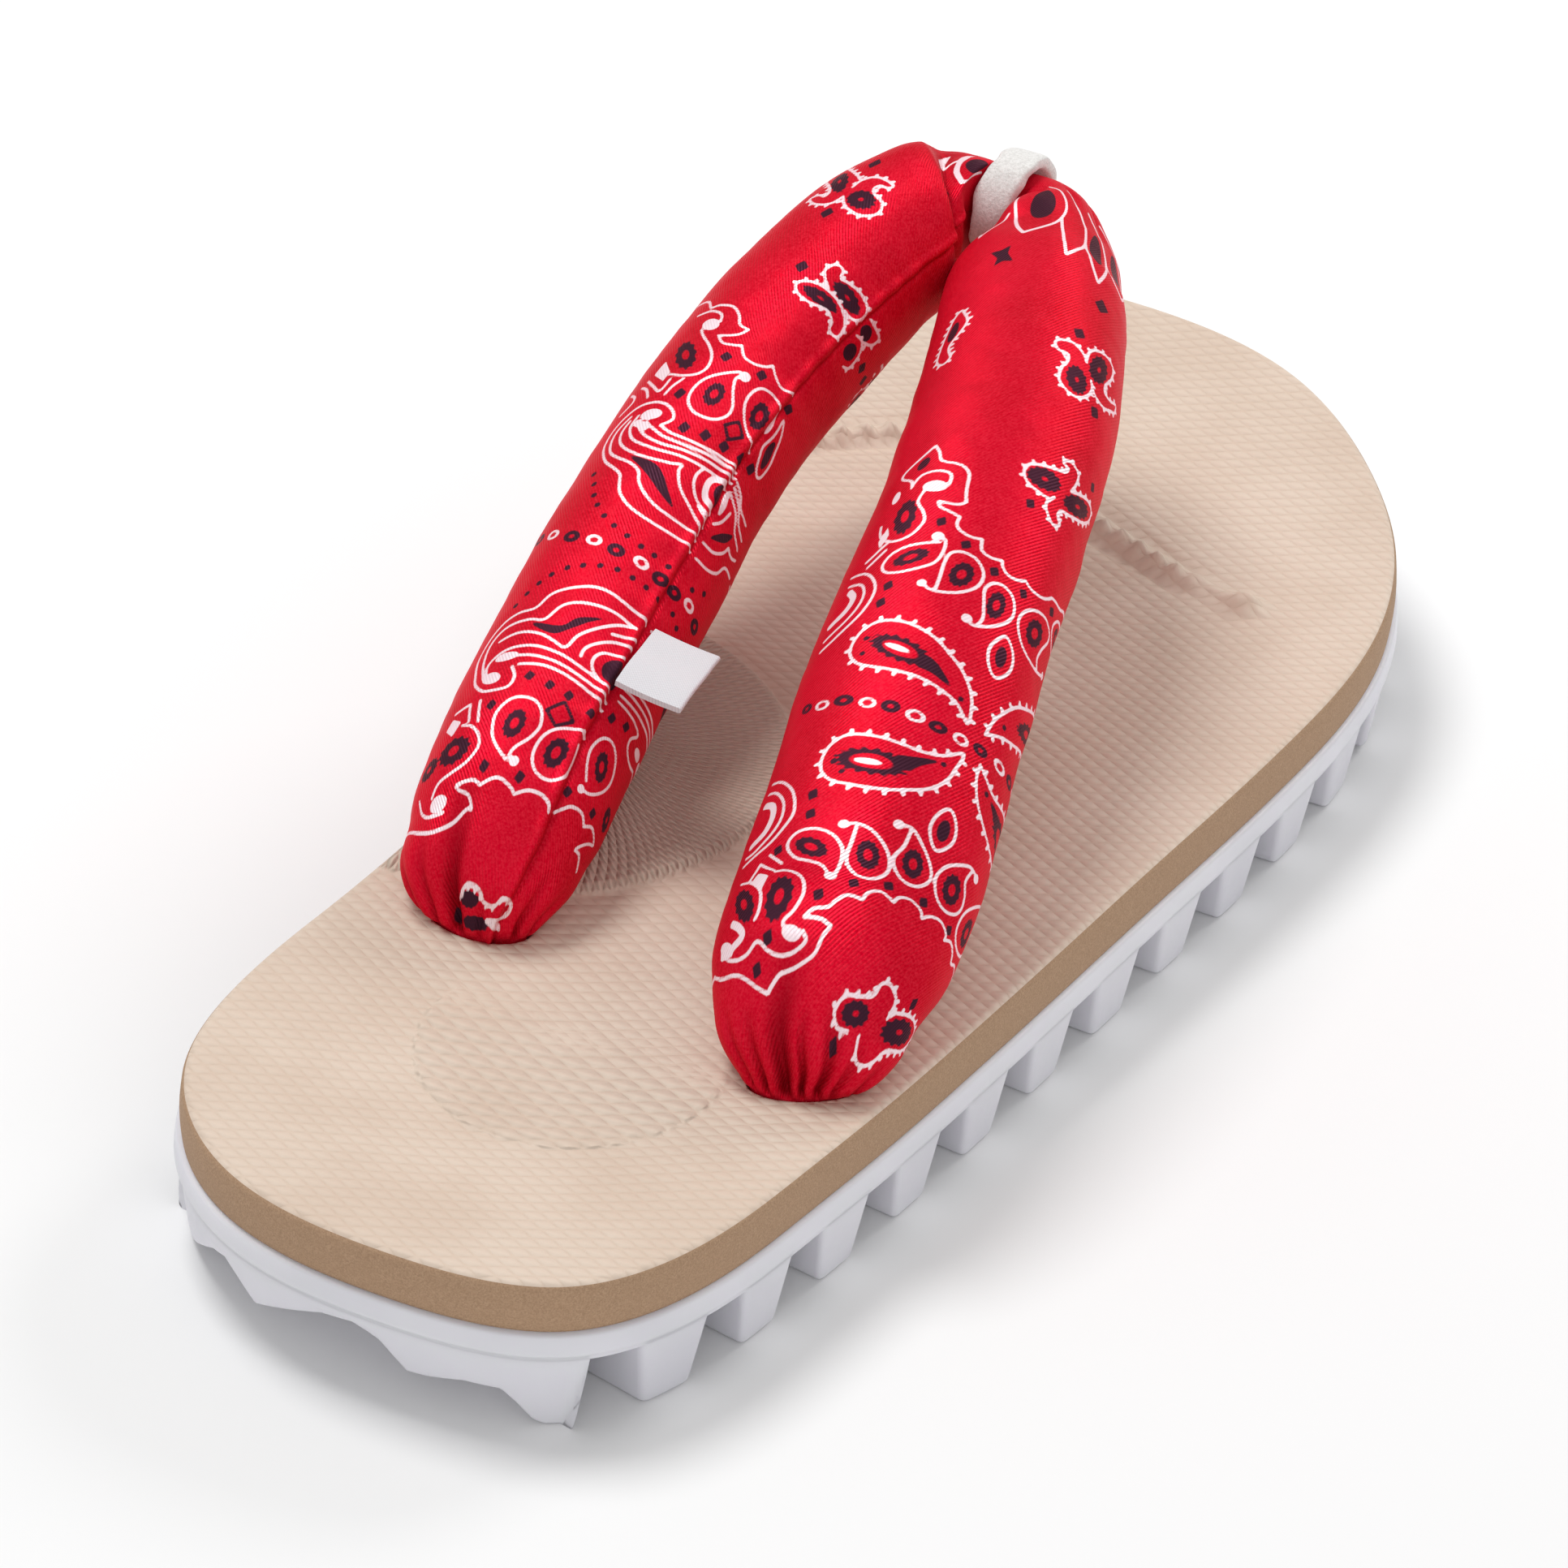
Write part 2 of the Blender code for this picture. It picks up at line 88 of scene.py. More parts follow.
# Lower edge of the heel skirt: place round the heel, height
SKIRT_WAVE = (
    (-49.0, 0.0), (-43.0, 2.6), (-34.0, 7.7), (-30.0, 8.7), (-27.0, 7.0), (-23.4, 4.5),
    (-16.4, 7.1), (-10.3, 9.4), (-5.0, 10.2), (-0.8, 8.6), (3.4, 4.7), (6.7, 4.9),
    (12.3, 5.9), (17.7, 5.7), (20.0, 3.5), (22.3, 0.8), (24.0, 0.0),
)

# Strap centre line: sideways, forward, up, half width share, half depth share
STRAP_RADIUS = 16.5
STRAP_ROWS = (
    (35.0, -80.5, 21.2, 0.42, 0.22),
    (34.8, -80.0, 25.0, 0.50, 0.30),
    (34.0, -77.3, 30.3, 0.78, 0.47),
    (32.8, -70.2, 35.1, 0.99, 0.64),
    (31.4, -60.0, 38.4, 1.07, 0.80),
    (29.3, -46.5, 43.9, 1.08, 0.87),
    (25.4, -27.4, 51.2, 1.06, 0.88),
    (21.6, -6.8, 57.9, 1.03, 0.88),
    (17.5, 16.3, 63.5, 1.00, 0.88),
    (11.4, 41.0, 67.8, 0.97, 0.88),
    (5.8, 58.0, 70.0, 0.93, 0.86),
    (2.4, 69.5, 71.6, 0.84, 0.79),
    (0.9, 78.5, 73.2, 0.66, 0.64),
    (-2.0, 85.8, 74.8, 0.48, 0.49),
    (-6.0, 89.4, 75.3, 0.39, 0.40),
    (-11.0, 90.5, 75.5, 0.35, 0.35),
    (-16.0, 89.6, 75.5, 0.40, 0.42),
    (-20.3, 86.2, 76.4, 0.55, 0.57),
    (-23.8, 79.4, 75.4, 0.71, 0.73),
    (-26.6, 69.6, 72.8, 0.84, 0.82),
    (-30.2, 54.5, 67.6, 0.88, 0.85),
    (-33.0, 36.0, 62.2, 0.88, 0.84),
    (-33.0, 15.0, 57.0, 0.88, 0.83),
    (-31.8, -8.0, 49.4, 0.90, 0.83),
    (-30.4, -28.7, 42.5, 0.91, 0.82),
    (-28.6, -45.0, 37.6, 0.91, 0.76),
    (-26.8, -56.0, 33.9, 0.87, 0.66),
    (-25.4, -63.2, 30.0, 0.72, 0.48),
    (-24.9, -66.4, 25.2, 0.50, 0.28),
    (-24.8, -67.0, 21.2, 0.42, 0.22),
)
NECK_INDEX = 15
NECK = Vector((-11.0, 90.5, 75.5))
PRINT_RADIUS = 15.5


# Helpers

def noise(x, y, size, seed):
    """Return smooth value noise between -1 and 1."""
    grid = np.random.default_rng(seed).uniform(-1.0, 1.0, (61, 61))
    column = np.asarray(x) / size
    row = np.asarray(y) / size
    left = np.floor(column).astype(int)
    low = np.floor(row).astype(int)
    across = column - left
    up = row - low
    across = across * across * (3.0 - 2.0 * across)
    up = up * up * (3.0 - 2.0 * up)
    a = grid[left % 61, low % 61]
    b = grid[(left + 1) % 61, low % 61]
    c = grid[left % 61, (low + 1) % 61]
    d = grid[(left + 1) % 61, (low + 1) % 61]
    return (a * (1 - across) + b * across) * (1 - up) + (c * (1 - across) + d * across) * up


def smooth(value, start, end):
    """Return 0 before start, 1 after end, and a soft step between."""
    share = np.clip((np.asarray(value, dtype=float) - start) / (end - start), 0.0, 1.0)
    return share * share * (3.0 - 2.0 * share)


def hermite(start, end, start_slope, end_slope, span, share):
    """Return a point on the cubic between two points with the given slopes."""
    square = share * share
    cube = square * share
    return (
        (2.0 * cube - 3.0 * square + 1.0) * start
        + (cube - 2.0 * square + share) * span * start_slope
        + (3.0 * square - 2.0 * cube) * end
        + (cube - square) * span * end_slope
    )


def linear(red, green, blue):
    """Return a linear colour from 0-255 values."""
    return tuple(((c / 255.0 + 0.055) / 1.055) ** 2.4 for c in (red, green, blue)) + (1.0,)


def tube_faces(first, rings, size, caps=True):
    """Return the faces between rings of equal size, stored one after the other."""
    faces = []
    for ring in range(rings - 1):
        for side in range(size):
            a = first + ring * size + side
            b = first + ring * size + (side + 1) % size
            faces.append((a, b, b + size, a + size))
    if caps:
        faces.append(tuple(range(first, first + size))[::-1])
        faces.append(tuple(range(first + (rings - 1) * size, first + rings * size)))
    return faces


def lengths_along(points):
    """Return the distance travelled from the first point to each point."""
    steps = np.linalg.norm(np.diff(points, axis=0), axis=1)
    return np.concatenate([[0.0], np.cumsum(steps)])


def make_cutter(name, vertices, faces):
    """Make a hidden solid that a Boolean takes away."""
    cutter = make_piece(name, vertices, faces, [])
    cutter.hide_render = True
    cutter.hide_viewport = True
    return cutter


def make_piece(name, vertices, faces, materials, node=None, sharp=None):
    """Make a mesh that rides on the body and stands for a CAD node."""
    mesh = bpy.data.meshes.new(name)
    mesh.from_pydata((np.asarray(vertices) * MM).tolist(), [], faces)
    editable = bmesh.new()
    editable.from_mesh(mesh)
    bmesh.ops.recalc_face_normals(editable, faces=editable.faces)
    editable.to_mesh(mesh)
    editable.free()
    mesh.shade_smooth()
    if sharp is not None:
        mesh.set_sharp_from_angle(angle=sharp)
    for material in materials:
        mesh.materials.append(material)
    piece = bpy.data.objects.new(name, mesh)
    bpy.context.scene.collection.objects.link(piece)
    if node:
        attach(piece, "root")
        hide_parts(node)
    return piece


ARCH_CENTRE = (-41.7, -21.0)
ARCH_RADIUS = 42.0
HEEL_CENTRE = (2.0, -88.0)
HEEL_RADIUS = 23.5
ARCH_FIELD = 1.0
HEEL_FIELD = 0.45


# Materials

class Nodes:
    """Short way to write a node tree."""

    def __init__(self, name):
        """Make a material and keep its shader."""
        self.material = bpy.data.materials.new(name)
        self.material.use_nodes = True
        self.tree = self.material.node_tree
        self.shader = self.tree.nodes["Principled BSDF"]

    def add(self, kind, **settings):
        """Add a node and set its inputs or properties."""
        node = self.tree.nodes.new(kind)
        for key, value in settings.items():
            if key in node.inputs:
                node.inputs[key].default_value = value
            else:
                setattr(node, key, value)
        return node

    def link(self, start, end):
        """Link an output to an input."""
        self.tree.links.new(start, end)

    def set(self, socket, value):
        """Set a value on the shader."""
        self.shader.inputs[socket].default_value = value

    def feed(self, source, target):
        """Link an output to an input, or set the input's value."""
        if hasattr(source, "is_output"):
            self.link(source, target)
        else:
            target.default_value = source

    def math(self, operation, first, second=None):
        """Return the result of a math node."""
        node = self.add("ShaderNodeMath", operation=operation)
        self.feed(first, node.inputs[0])
        if second is not None:
            self.feed(second, node.inputs[1])
        return node.outputs[0]

    def step(self, value, start, end, low=0.0, high=1.0):
        """Return a soft step from low to high."""
        node = self.add("ShaderNodeMapRange", interpolation_type="SMOOTHSTEP")
        self.feed(value, node.inputs["Value"])
        node.inputs["From Min"].default_value = start
        node.inputs["From Max"].default_value = end
        node.inputs["To Min"].default_value = low
        node.inputs["To Max"].default_value = high
        return node.outputs["Result"]

    def mix(self, share, first, second):
        """Return a mix of two colours or values."""
        node = self.add("ShaderNodeMix", data_type="RGBA")
        self.feed(share, node.inputs[0])
        self.feed(first, node.inputs[6])
        self.feed(second, node.inputs[7])
        return node.outputs[2]

    def attribute(self, name):
        """Return a point value of the mesh."""
        return self.add("ShaderNodeAttribute", attribute_name=name).outputs["Fac"]

    def noise(self, scale, detail, rough=0.5):
        """Return noise over the object."""
        node = self.add("ShaderNodeTexNoise", Scale=scale, Detail=detail, Roughness=rough)
        self.link(self.position(), node.inputs["Vector"])
        return node.outputs["Fac"]

    def position(self):
        """Return the place on the object in metres."""
        return self.add("ShaderNodeTexCoord").outputs["Object"]

    def bump(self, height, distance, strength, before=None):
        """Return a bumped normal."""
        node = self.add("ShaderNodeBump", Strength=strength, Distance=distance)
        self.link(height, node.inputs["Height"])
        if before is not None:
            self.link(before, node.inputs["Normal"])
        return node.outputs["Normal"]

    def finish(self, colour, rough, normal):
        """Feed the shader and return the material."""
        self.feed(colour, self.shader.inputs["Base Color"])
        self.feed(rough, self.shader.inputs["Roughness"])
        self.link(normal, self.shader.inputs["Normal"])
        return self.material


def cloth_material():
    """Printed cotton twill with a satin sheen."""
    n = Nodes("printed_cotton")
    uv = n.add("ShaderNodeUVMap", uv_map="weave").outputs["UV"]
    split = n.add("ShaderNodeSeparateXYZ")
    n.link(uv, split.inputs[0])
    along, round_ = split.outputs[0], split.outputs[1]
    ink = n.math("MULTIPLY", n.math("SUBTRACT", n.noise(2600.0, 1.0), 0.5), 0.10)
    white = n.step(n.math("ADD", n.attribute("white"), ink), -0.10, 0.10)
    dark = n.step(n.math("ADD", n.attribute("dark"), ink), -0.12, 0.12)
    # diagonal twill lines, 0.5 mm apart
    slant = n.math("SUBTRACT", n.math("MULTIPLY", along, 7.6), n.math("MULTIPLY", round_, 9.8))
    thread = n.math("SINE", slant)
    fuzz = n.noise(2400.0, 2.0, 0.6)
    tone = n.step(n.noise(70.0, 3.0), 0.3, 0.7)
    red = n.mix(tone, linear(202, 2, 33), linear(217, 7, 42))
    red = n.mix(n.step(fuzz, 0.3, 0.75, 0.0, 0.40), red, linear(245, 58, 78))
    red = n.mix(n.step(thread, -1.0, 1.0, 0.10, 0.0), red, linear(150, 0, 20))
    # painted shade: the red turns deep red in folds, along the seam groove and in the crease
    red = n.mix(n.math("MULTIPLY", n.attribute("fold_shade"), 0.72), red, linear(118, 0, 12))
    colour = n.mix(dark, red, linear(62, 34, 48))
    colour = n.mix(white, colour, linear(250, 228, 234))
    normal = n.bump(thread, 0.00004, 0.6)
    normal = n.bump(fuzz, 0.00006, 0.5, normal)
    n.set("Metallic", 0.34)
    n.set("Specular IOR Level", 0.06)
    n.set("Specular Tint", (1.0, 0.10, 0.16, 1.0))
    rough = n.step(fuzz, 0.2, 0.8, 0.34, 0.46)
    return n.finish(colour, rough, normal)


def pillow(n, first, second):
    """Return raised cells between two crossing families of grooves; the inputs are half phases."""
    a = n.math("ABSOLUTE", n.math("SINE", first))
    b = n.math("ABSOLUTE", n.math("SINE", second))
    return n.math("MULTIPLY", a, b)


def footbed_material():
    """Tan moulded foam with a grain of small diamonds, coarser at the arch and the heel, with painted shade
    in the grain's grooves.
    """
    n = Nodes("footbed_top")
    split = n.add("ShaderNodeSeparateXYZ")
    n.link(n.position(), split.inputs[0])
    x = n.math("MULTIPLY", split.outputs[0], 1000.0)
    y = n.math("MULTIPLY", split.outputs[1], 1000.0)
    wander = n.math("MULTIPLY", n.math("SUBTRACT", n.noise(22.0, 1.0), 0.5), 1.6)
    y = n.math("ADD", y, wander)

    def lattice(pitch):
        """Return the two half phases of a diamond grain."""
        across = n.math("MULTIPLY", x, 0.494 * pi / pitch)
        along = n.math("MULTIPLY", y, 0.869 * pi / pitch)
        return n.math("SUBTRACT", along, across), n.math("ADD", along, across)

    def polar(centre_x, centre_y):
        """Return the distance and angle from a centre."""
        dx = n.math("SUBTRACT", x, centre_x)
        dy = n.math("SUBTRACT", y, centre_y)
        radius = n.math("SQRT", n.math("ADD", n.math("MULTIPLY", dx, dx), n.math("MULTIPLY", dy, dy)))
        return radius, n.math("ARCTAN2", dy, dx)

    cells = pillow(n, *lattice(2.3))
    arch_radius, arch_angle = polar(*ARCH_CENTRE)
    turn = n.math("MULTIPLY", arch_angle, 72.0)
    reach = n.math("MULTIPLY", arch_radius, pi / 3.7)
    arch_cells = pillow(n, n.math("ADD", turn, reach), n.math("SUBTRACT", turn, reach))
    in_arch = n.step(arch_radius, ARCH_RADIUS - 0.4, ARCH_RADIUS + 0.4, 1.0, 0.0)
    in_arch = n.math("MULTIPLY", in_arch, n.step(arch_radius, 12.0, 22.0))
    heel_radius, _ = polar(*HEEL_CENTRE)
    heel_cells = pillow(n, *lattice(3.0))
    in_heel = n.step(heel_radius, HEEL_RADIUS - 0.4, HEEL_RADIUS + 0.4, 1.0, 0.0)
    in_heel = n.math("MULTIPLY", in_heel, n.step(y, -92.0, -74.0, 1.0, 0.0))
    height = n.mix(in_arch, cells, arch_cells)
    height = n.mix(in_heel, height, heel_cells)
    depth = n.math("ADD", 0.5, in_arch)
    depth = n.math("ADD", depth, n.math("MULTIPLY", in_heel, 0.55))
    # painted shade: the grain's low grooves get a darker tan
    low = n.step(height, 0.0, 0.45, 0.20, 0.0)
    height = n.math("MULTIPLY", height, depth)
    fine = n.noise(1400.0, 3.0)
    blotch = n.step(n.noise(40.0, 3.0), 0.3, 0.7)
    colour = n.mix(blotch, linear(211, 191, 173), linear(218, 200, 183))
    # painted shade laid into the grain's grooves
    colour = n.mix(low, colour, linear(188, 161, 137))
    normal = n.bump(height, 0.0006, 0.8)
    normal = n.bump(fine, 0.00006, 0.5, normal)
    n.set("Specular IOR Level", 0.35)
    return n.finish(colour, n.step(fine, 0.2, 0.8, 0.52, 0.68), normal)


def sidewall_material():
    """Cut foam edge: darker, with a fine open grain."""
    n = Nodes("footbed_side")
    grain = n.noise(3600.0, 3.0, 0.6)
    coarse = n.noise(900.0, 3.0)
    colour = n.mix(n.step(grain, 0.3, 0.7), linear(158, 126, 97), linear(183, 150, 120))
    colour = n.mix(n.step(coarse, 0.35, 0.7, 0.0, 0.35), colour, linear(164, 131, 101))
    normal = n.bump(grain, 0.00016, 0.8)
    return n.finish(colour, 0.8, normal)


def rubber_material():
    """Pale lilac-grey foam rubber with a satin skin."""
    n = Nodes("outsole_rubber")
    cloud = n.step(n.noise(30.0, 3.0), 0.3, 0.7)
    fine = n.noise(900.0, 3.0)
    colour = n.mix(cloud, linear(217, 216, 223), linear(225, 224, 230))
    normal = n.bump(fine, 0.00004, 0.4)
    normal = n.bump(n.noise(120.0, 2.0), 0.0002, 0.25, normal)
    n.set("Subsurface Weight", 0.22)
    n.set("Subsurface Radius", (0.004, 0.003, 0.004))
    n.set("Subsurface Scale", 1.0)
    return n.finish(colour, n.step(fine, 0.2, 0.8, 0.36, 0.5), normal)


def felt_material():
    """White brushed cloth."""
    n = Nodes("loop_felt")
    fibre = n.noise(2200.0, 4.0, 0.7)
    soft = n.noise(350.0, 3.0)
    colour = n.mix(n.step(fibre, 0.3, 0.7), linear(214, 211, 207), linear(243, 241, 238))
    normal = n.bump(fibre, 0.0003, 0.8)
    normal = n.bump(soft, 0.0006, 0.5, normal)
    n.set("Sheen Weight", 0.5)
    n.set("Sheen Roughness", 0.6)
    n.set("Specular IOR Level", 0.1)
    return n.finish(colour, 0.95, normal)


def ribbon_material():
    """White woven ribbon."""
    n = Nodes("label_ribbon")
    split = n.add("ShaderNodeSeparateXYZ")
    n.link(n.position(), split.inputs[0])
    weft = n.math("SINE", n.math("MULTIPLY", split.outputs[1], 2.0 * pi / 0.0005))
    warp = n.math("SINE", n.math("MULTIPLY", split.outputs[0], 2.0 * pi / 0.0005))
    weave = n.math("MULTIPLY", weft, warp)
    colour = n.mix(n.step(weave, -1.0, 1.0), linear(208, 207, 212), linear(224, 224, 227))
    normal = n.bump(weave, 0.00006, 0.6)
    n.set("Sheen Weight", 0.2)
    return n.finish(colour, 0.7, normal)


# Outline of the sole

def sole_outline(samples):
    """Return the outline: heel end first, forward on the outer side, back on the inner side."""
    points = [(HEEL_END * SOLE_WIDTH, -SOLE_LENGTH / 2.0)]
    for length_share, _, outer_share in OUTLINE:
        points.append((outer_share * SOLE_WIDTH, (length_share - 0.5) * SOLE_LENGTH))
    points.append((TOE_END * SOLE_WIDTH, SOLE_LENGTH / 2.0))
    for length_share, inner_share, _ in reversed(OUTLINE):
        points.append((inner_share * SOLE_WIDTH, (length_share - 0.5) * SOLE_LENGTH))
    knots = np.array(points, dtype=float)
    count = len(knots)
    following = np.roll(knots, -1, axis=0)
    spans = np.linalg.norm(following - knots, axis=1)
    before = np.roll(spans, 1)
    after_slope = (following - knots) / spans[:, None]
    before_slope = np.roll(after_slope, 1, axis=0)
    system = np.zeros((count, count))
    right_side = np.zeros((count, 2))
    for row in range(count):
        system[row, row - 1] += spans[row]
        system[row, row] += 2.0 * (spans[row] + before[row])
        system[row, (row + 1) % count] += before[row]
        right_side[row] = 3.0 * (spans[row] * before_slope[row] + before[row] * after_slope[row])
    slopes = np.linalg.solve(system, right_side)
    dense = []
    for row in range(count):
        end = (row + 1) % count
        for share in np.linspace(0.0, 1.0, 24, endpoint=False):
            dense.append(hermite(knots[row], knots[end], slopes[row], slopes[end], spans[row], share))
    return even_loop(np.array(dense), samples)


def even_loop(dense, samples):
    """Resample a closed run of points at equal distances."""
    closed = np.vstack([dense, dense[:1]])
    travelled = lengths_along(closed)
    wanted = np.linspace(0.0, travelled[-1], samples, endpoint=False)
    return np.column_stack([np.interp(wanted, travelled, closed[:, i]) for i in (0, 1)])


def outward(loop):
    """Return unit normals that point out of the loop."""
    tangent = np.roll(loop, -1, axis=0) - np.roll(loop, 1, axis=0)
    normal = np.column_stack([tangent[:, 1], -tangent[:, 0]])
    return normal / np.linalg.norm(normal, axis=1)[:, None]


def toe_lift(y):
    """Return the toe spring."""
    reach = SOLE_LENGTH / 2.0 - TOE_SPRING_START
    share = np.clip((np.asarray(y, dtype=float) - TOE_SPRING_START) / reach, 0.0, None)
    return TOE_SPRING * share * share


def rim_lift(y):
    """Return the toe spring with the rim's small rise at the heel."""
    reach = SOLE_LENGTH / 2.0 + HEEL_RISE_START
    share = np.clip((HEEL_RISE_START - np.asarray(y, dtype=float)) / reach, 0.0, None)
    return toe_lift(y) + HEEL_RISE * share * share


def bump(x, y, centre, radii):
    """Return a round mound of height 1 inside an oval."""
    reach = np.minimum(1.0, ((x - centre[0]) / radii[0]) ** 2 + ((y - centre[1]) / radii[1]) ** 2)
    return (1.0 - reach) ** 2


def footbed_top(x, y):
    """Return the height of the footbed's upper face with its moulded relief."""
    height = LUG_HEIGHT + RIM_HEIGHT + rim_lift(y) + CLEARANCE + FOOTBED_THICKNESS
    height = height - HEEL_DISH_DEPTH * bump(x, y, (-2.0, -92.0), (46.0, 52.0))
    height = height - BALL_DISH_DEPTH * bump(x, y, (2.0, 58.0), (60.0, 46.0))
    return height + ARCH_RAISE * bump(x, y, (-36.0, -22.0), (27.0, 62.0))


def segment_distance(x, y, points):
    """Return the distance to a run of segments and the share travelled along it."""
    best = np.full(np.shape(x), 1e9)
    place = np.zeros(np.shape(x))
    run = 0.0
    pairs = list(zip(points, points[1:]))
    total = sum(sqrt((b[0] - a[0]) ** 2 + (b[1] - a[1]) ** 2) for a, b in pairs)
    for a, b in pairs:
        dx, dy = b[0] - a[0], b[1] - a[1]
        length = sqrt(dx * dx + dy * dy)
        share = np.clip(((x - a[0]) * dx + (y - a[1]) * dy) / (length * length), 0.0, 1.0)
        distance = np.hypot(x - a[0] - share * dx, y - a[1] - share * dy)
        closer = distance < best
        best = np.where(closer, distance, best)
        place = np.where(closer, (run + share * length) / total, place)
        run += length
    return best, place


TOE_RIDGE = ((-45.7, 81.1), (-38.0, 88.5), (-28.9, 94.4), (-16.0, 96.0), (-2.0, 90.5), (11.2, 83.1),
             (27.6, 76.2), (41.2, 72.3))


def footbed_relief(x, y):
    """Return the roped ridge under the toes and the raised arch and heel fields."""
    distance, place = segment_distance(x, y, TOE_RIDGE)
    rope = 0.85 * np.sin(2.0 * pi * place * 100.0 / 4.4 + 0.9 * distance)
    rope = rope * smooth(0.90 - place, 0.0, 0.06)
    height = np.where(place > 0.90, 0.9, 1.5) + rope
    relief = np.exp(-((distance / 1.8) ** 2)) * height
    relief = relief - 0.6 * np.exp(-(((distance - 3.2) / 1.2) ** 2)) * (1.0 - smooth(place, 0.85, 0.92))
    relief = relief + 1.8 * np.exp(-(((x - 41.0) / 3.2) ** 2 + ((y - 72.6) / 2.3) ** 2))
    arch = np.hypot(x - ARCH_CENTRE[0], y - ARCH_CENTRE[1])
    relief = relief + ARCH_FIELD * (1.0 - smooth(arch, ARCH_RADIUS - 0.9, ARCH_RADIUS + 0.3))
    relief = relief - 0.25 * np.exp(-(((arch - ARCH_RADIUS - 0.6) / 0.8) ** 2))
    heel = np.hypot(x - HEEL_CENTRE[0], y - HEEL_CENTRE[1])
    fade = 1.0 - smooth(y, -92.0, -74.0)
    return relief + HEEL_FIELD * fade * (1.0 - smooth(heel, HEEL_RADIUS - 0.9, HEEL_RADIUS + 0.3))


# Footbed

FOOTBED_ROWS = 380
FOOTBED_COLUMNS = 150


def make_footbed():
    """Make the moulded slab: dense top, rounded edge, side and underside."""
    loop = sole_outline(2 * FOOTBED_ROWS)
    normal = outward(loop)
    vertices = []
    faces = []

    def ring(grow, drop, from_top):
        """Add one ring of points and return their numbers."""
        moved = loop + normal * grow
        if from_top:
            base = footbed_top(moved[:, 0], moved[:, 1])
        else:
            base = LUG_HEIGHT + RIM_HEIGHT + CLEARANCE + rim_lift(moved[:, 1])
        first = sum(len(part) for part in vertices)
        vertices.append(np.column_stack([moved, base - drop]))
        return np.arange(first, first + len(loop))

    rings = [ring(0.0, 0.0, False)]
    for share in np.linspace(0.06, 1.0, 7):
        swell = 0.25 * sin(pi * share)
        moved = loop + normal * swell
        low = LUG_HEIGHT + RIM_HEIGHT + CLEARANCE + rim_lift(moved[:, 1])
        high = footbed_top(moved[:, 0], moved[:, 1]) - EDGE_ROUND
        first = sum(len(part) for part in vertices)
        vertices.append(np.column_stack([moved, low * (1 - share) + high * share]))
        rings.append(np.arange(first, first + len(loop)))
    for angle in np.linspace(0.0, pi / 2.0, 7)[1:]:
        rings.append(ring(-EDGE_ROUND * (1.0 - cos(angle)), EDGE_ROUND * (1.0 - sin(angle)), True))
    count = len(loop)
    for low, high in zip(rings, rings[1:]):
        for place in range(count):
            following = (place + 1) % count
            faces.append((low[place], low[following], high[following], high[place]))
    side_faces = 10 * count
    top = vertices[-1]
    bottom_ring = rings[0]
    top_ring = rings[-1]
    base = sum(len(part) for part in vertices)
    shares = (1.0 - np.cos(pi * np.arange(1, FOOTBED_COLUMNS) / FOOTBED_COLUMNS)) / 2.0
    shares = 0.55 * shares + 0.45 * np.arange(1, FOOTBED_COLUMNS) / FOOTBED_COLUMNS
    rows = FOOTBED_ROWS
    start = top[1:rows, :2]
    end = top[:-rows:-1, :2]
    grid = start[:, None, :] * (1 - shares)[None, :, None] + end[:, None, :] * shares[None, :, None]
    x, y = grid[..., 0], grid[..., 1]
    z = footbed_top(x, y) + footbed_relief(x, y)
    vertices.append(np.column_stack([x.ravel(), y.ravel(), z.ravel()]))
    lines = []
    for row in range(1, rows):
        inner = base + (row - 1) * (FOOTBED_COLUMNS - 1) + np.arange(FOOTBED_COLUMNS - 1)
        lines.append(np.concatenate([[top_ring[row]], inner, [top_ring[-row]]]))
    for near, far in zip(lines, lines[1:]):
        for column in range(FOOTBED_COLUMNS):
            faces.append((near[column], near[column + 1], far[column + 1], far[column]))
    for column in range(FOOTBED_COLUMNS):
        faces.append((top_ring[0], lines[0][column], lines[0][column + 1]))
        faces.append((top_ring[rows], lines[-1][column + 1], lines[-1][column]))
    for row in range(1, rows - 1):
        faces.append((bottom_ring[row + 1], bottom_ring[-row - 1], bottom_ring[-row], bottom_ring[row]))
    faces.append((bottom_ring[0], bottom_ring[1], bottom_ring[-1])[::-1])
    faces.append((bottom_ring[rows], bottom_ring[rows - 1], bottom_ring[rows + 1])[::-1])
    points = np.vstack(vertices)
    faces = [tuple(int(i) for i in face) for face in faces]
    piece = make_piece("footbed_foam", points, faces, [footbed_material(), sidewall_material()], "footbed")
    marks = np.zeros(len(piece.data.polygons), dtype=np.int32)
    marks[:side_faces] = 1
    piece.data.polygons.foreach_set("material_index", marks)
    for cutter in (socket_tube(), loop_space()):
        modifier = piece.modifiers.new(cutter.name, "BOOLEAN")
        modifier.operation = "DIFFERENCE"
        modifier.solver = "EXACT"
        modifier.object = cutter
    return piece


SOCKET_SIDES = 32
SOCKET_GAP = 0.45
SOCKET_REACH = 16.0


def socket_tube():
    """Make the cutter for the two holes that hold the strap ends."""
    line = strap_line()
    vertices = []
    faces = []
    for picked in (line["s"] < SOCKET_REACH, line["s"] > line["s"][-1] - SOCKET_REACH):
        places = np.where(picked)[0][::4]
        first_ring = len(vertices)
        for place in places:
            for side in range(SOCKET_SIDES):
                angle = 2.0 * pi * side / SOCKET_SIDES
                across = line["width"][place] * (line["a"][place] + SOCKET_GAP) * cos(angle)
                up = line["depth"][place] * (line["b"][place] + SOCKET_GAP) * sin(angle)
                vertices.append(line["centre"][place] + across + up)
        faces += tube_faces(first_ring, len(places), SOCKET_SIDES)
    return make_cutter("socket_cutter", vertices, faces)


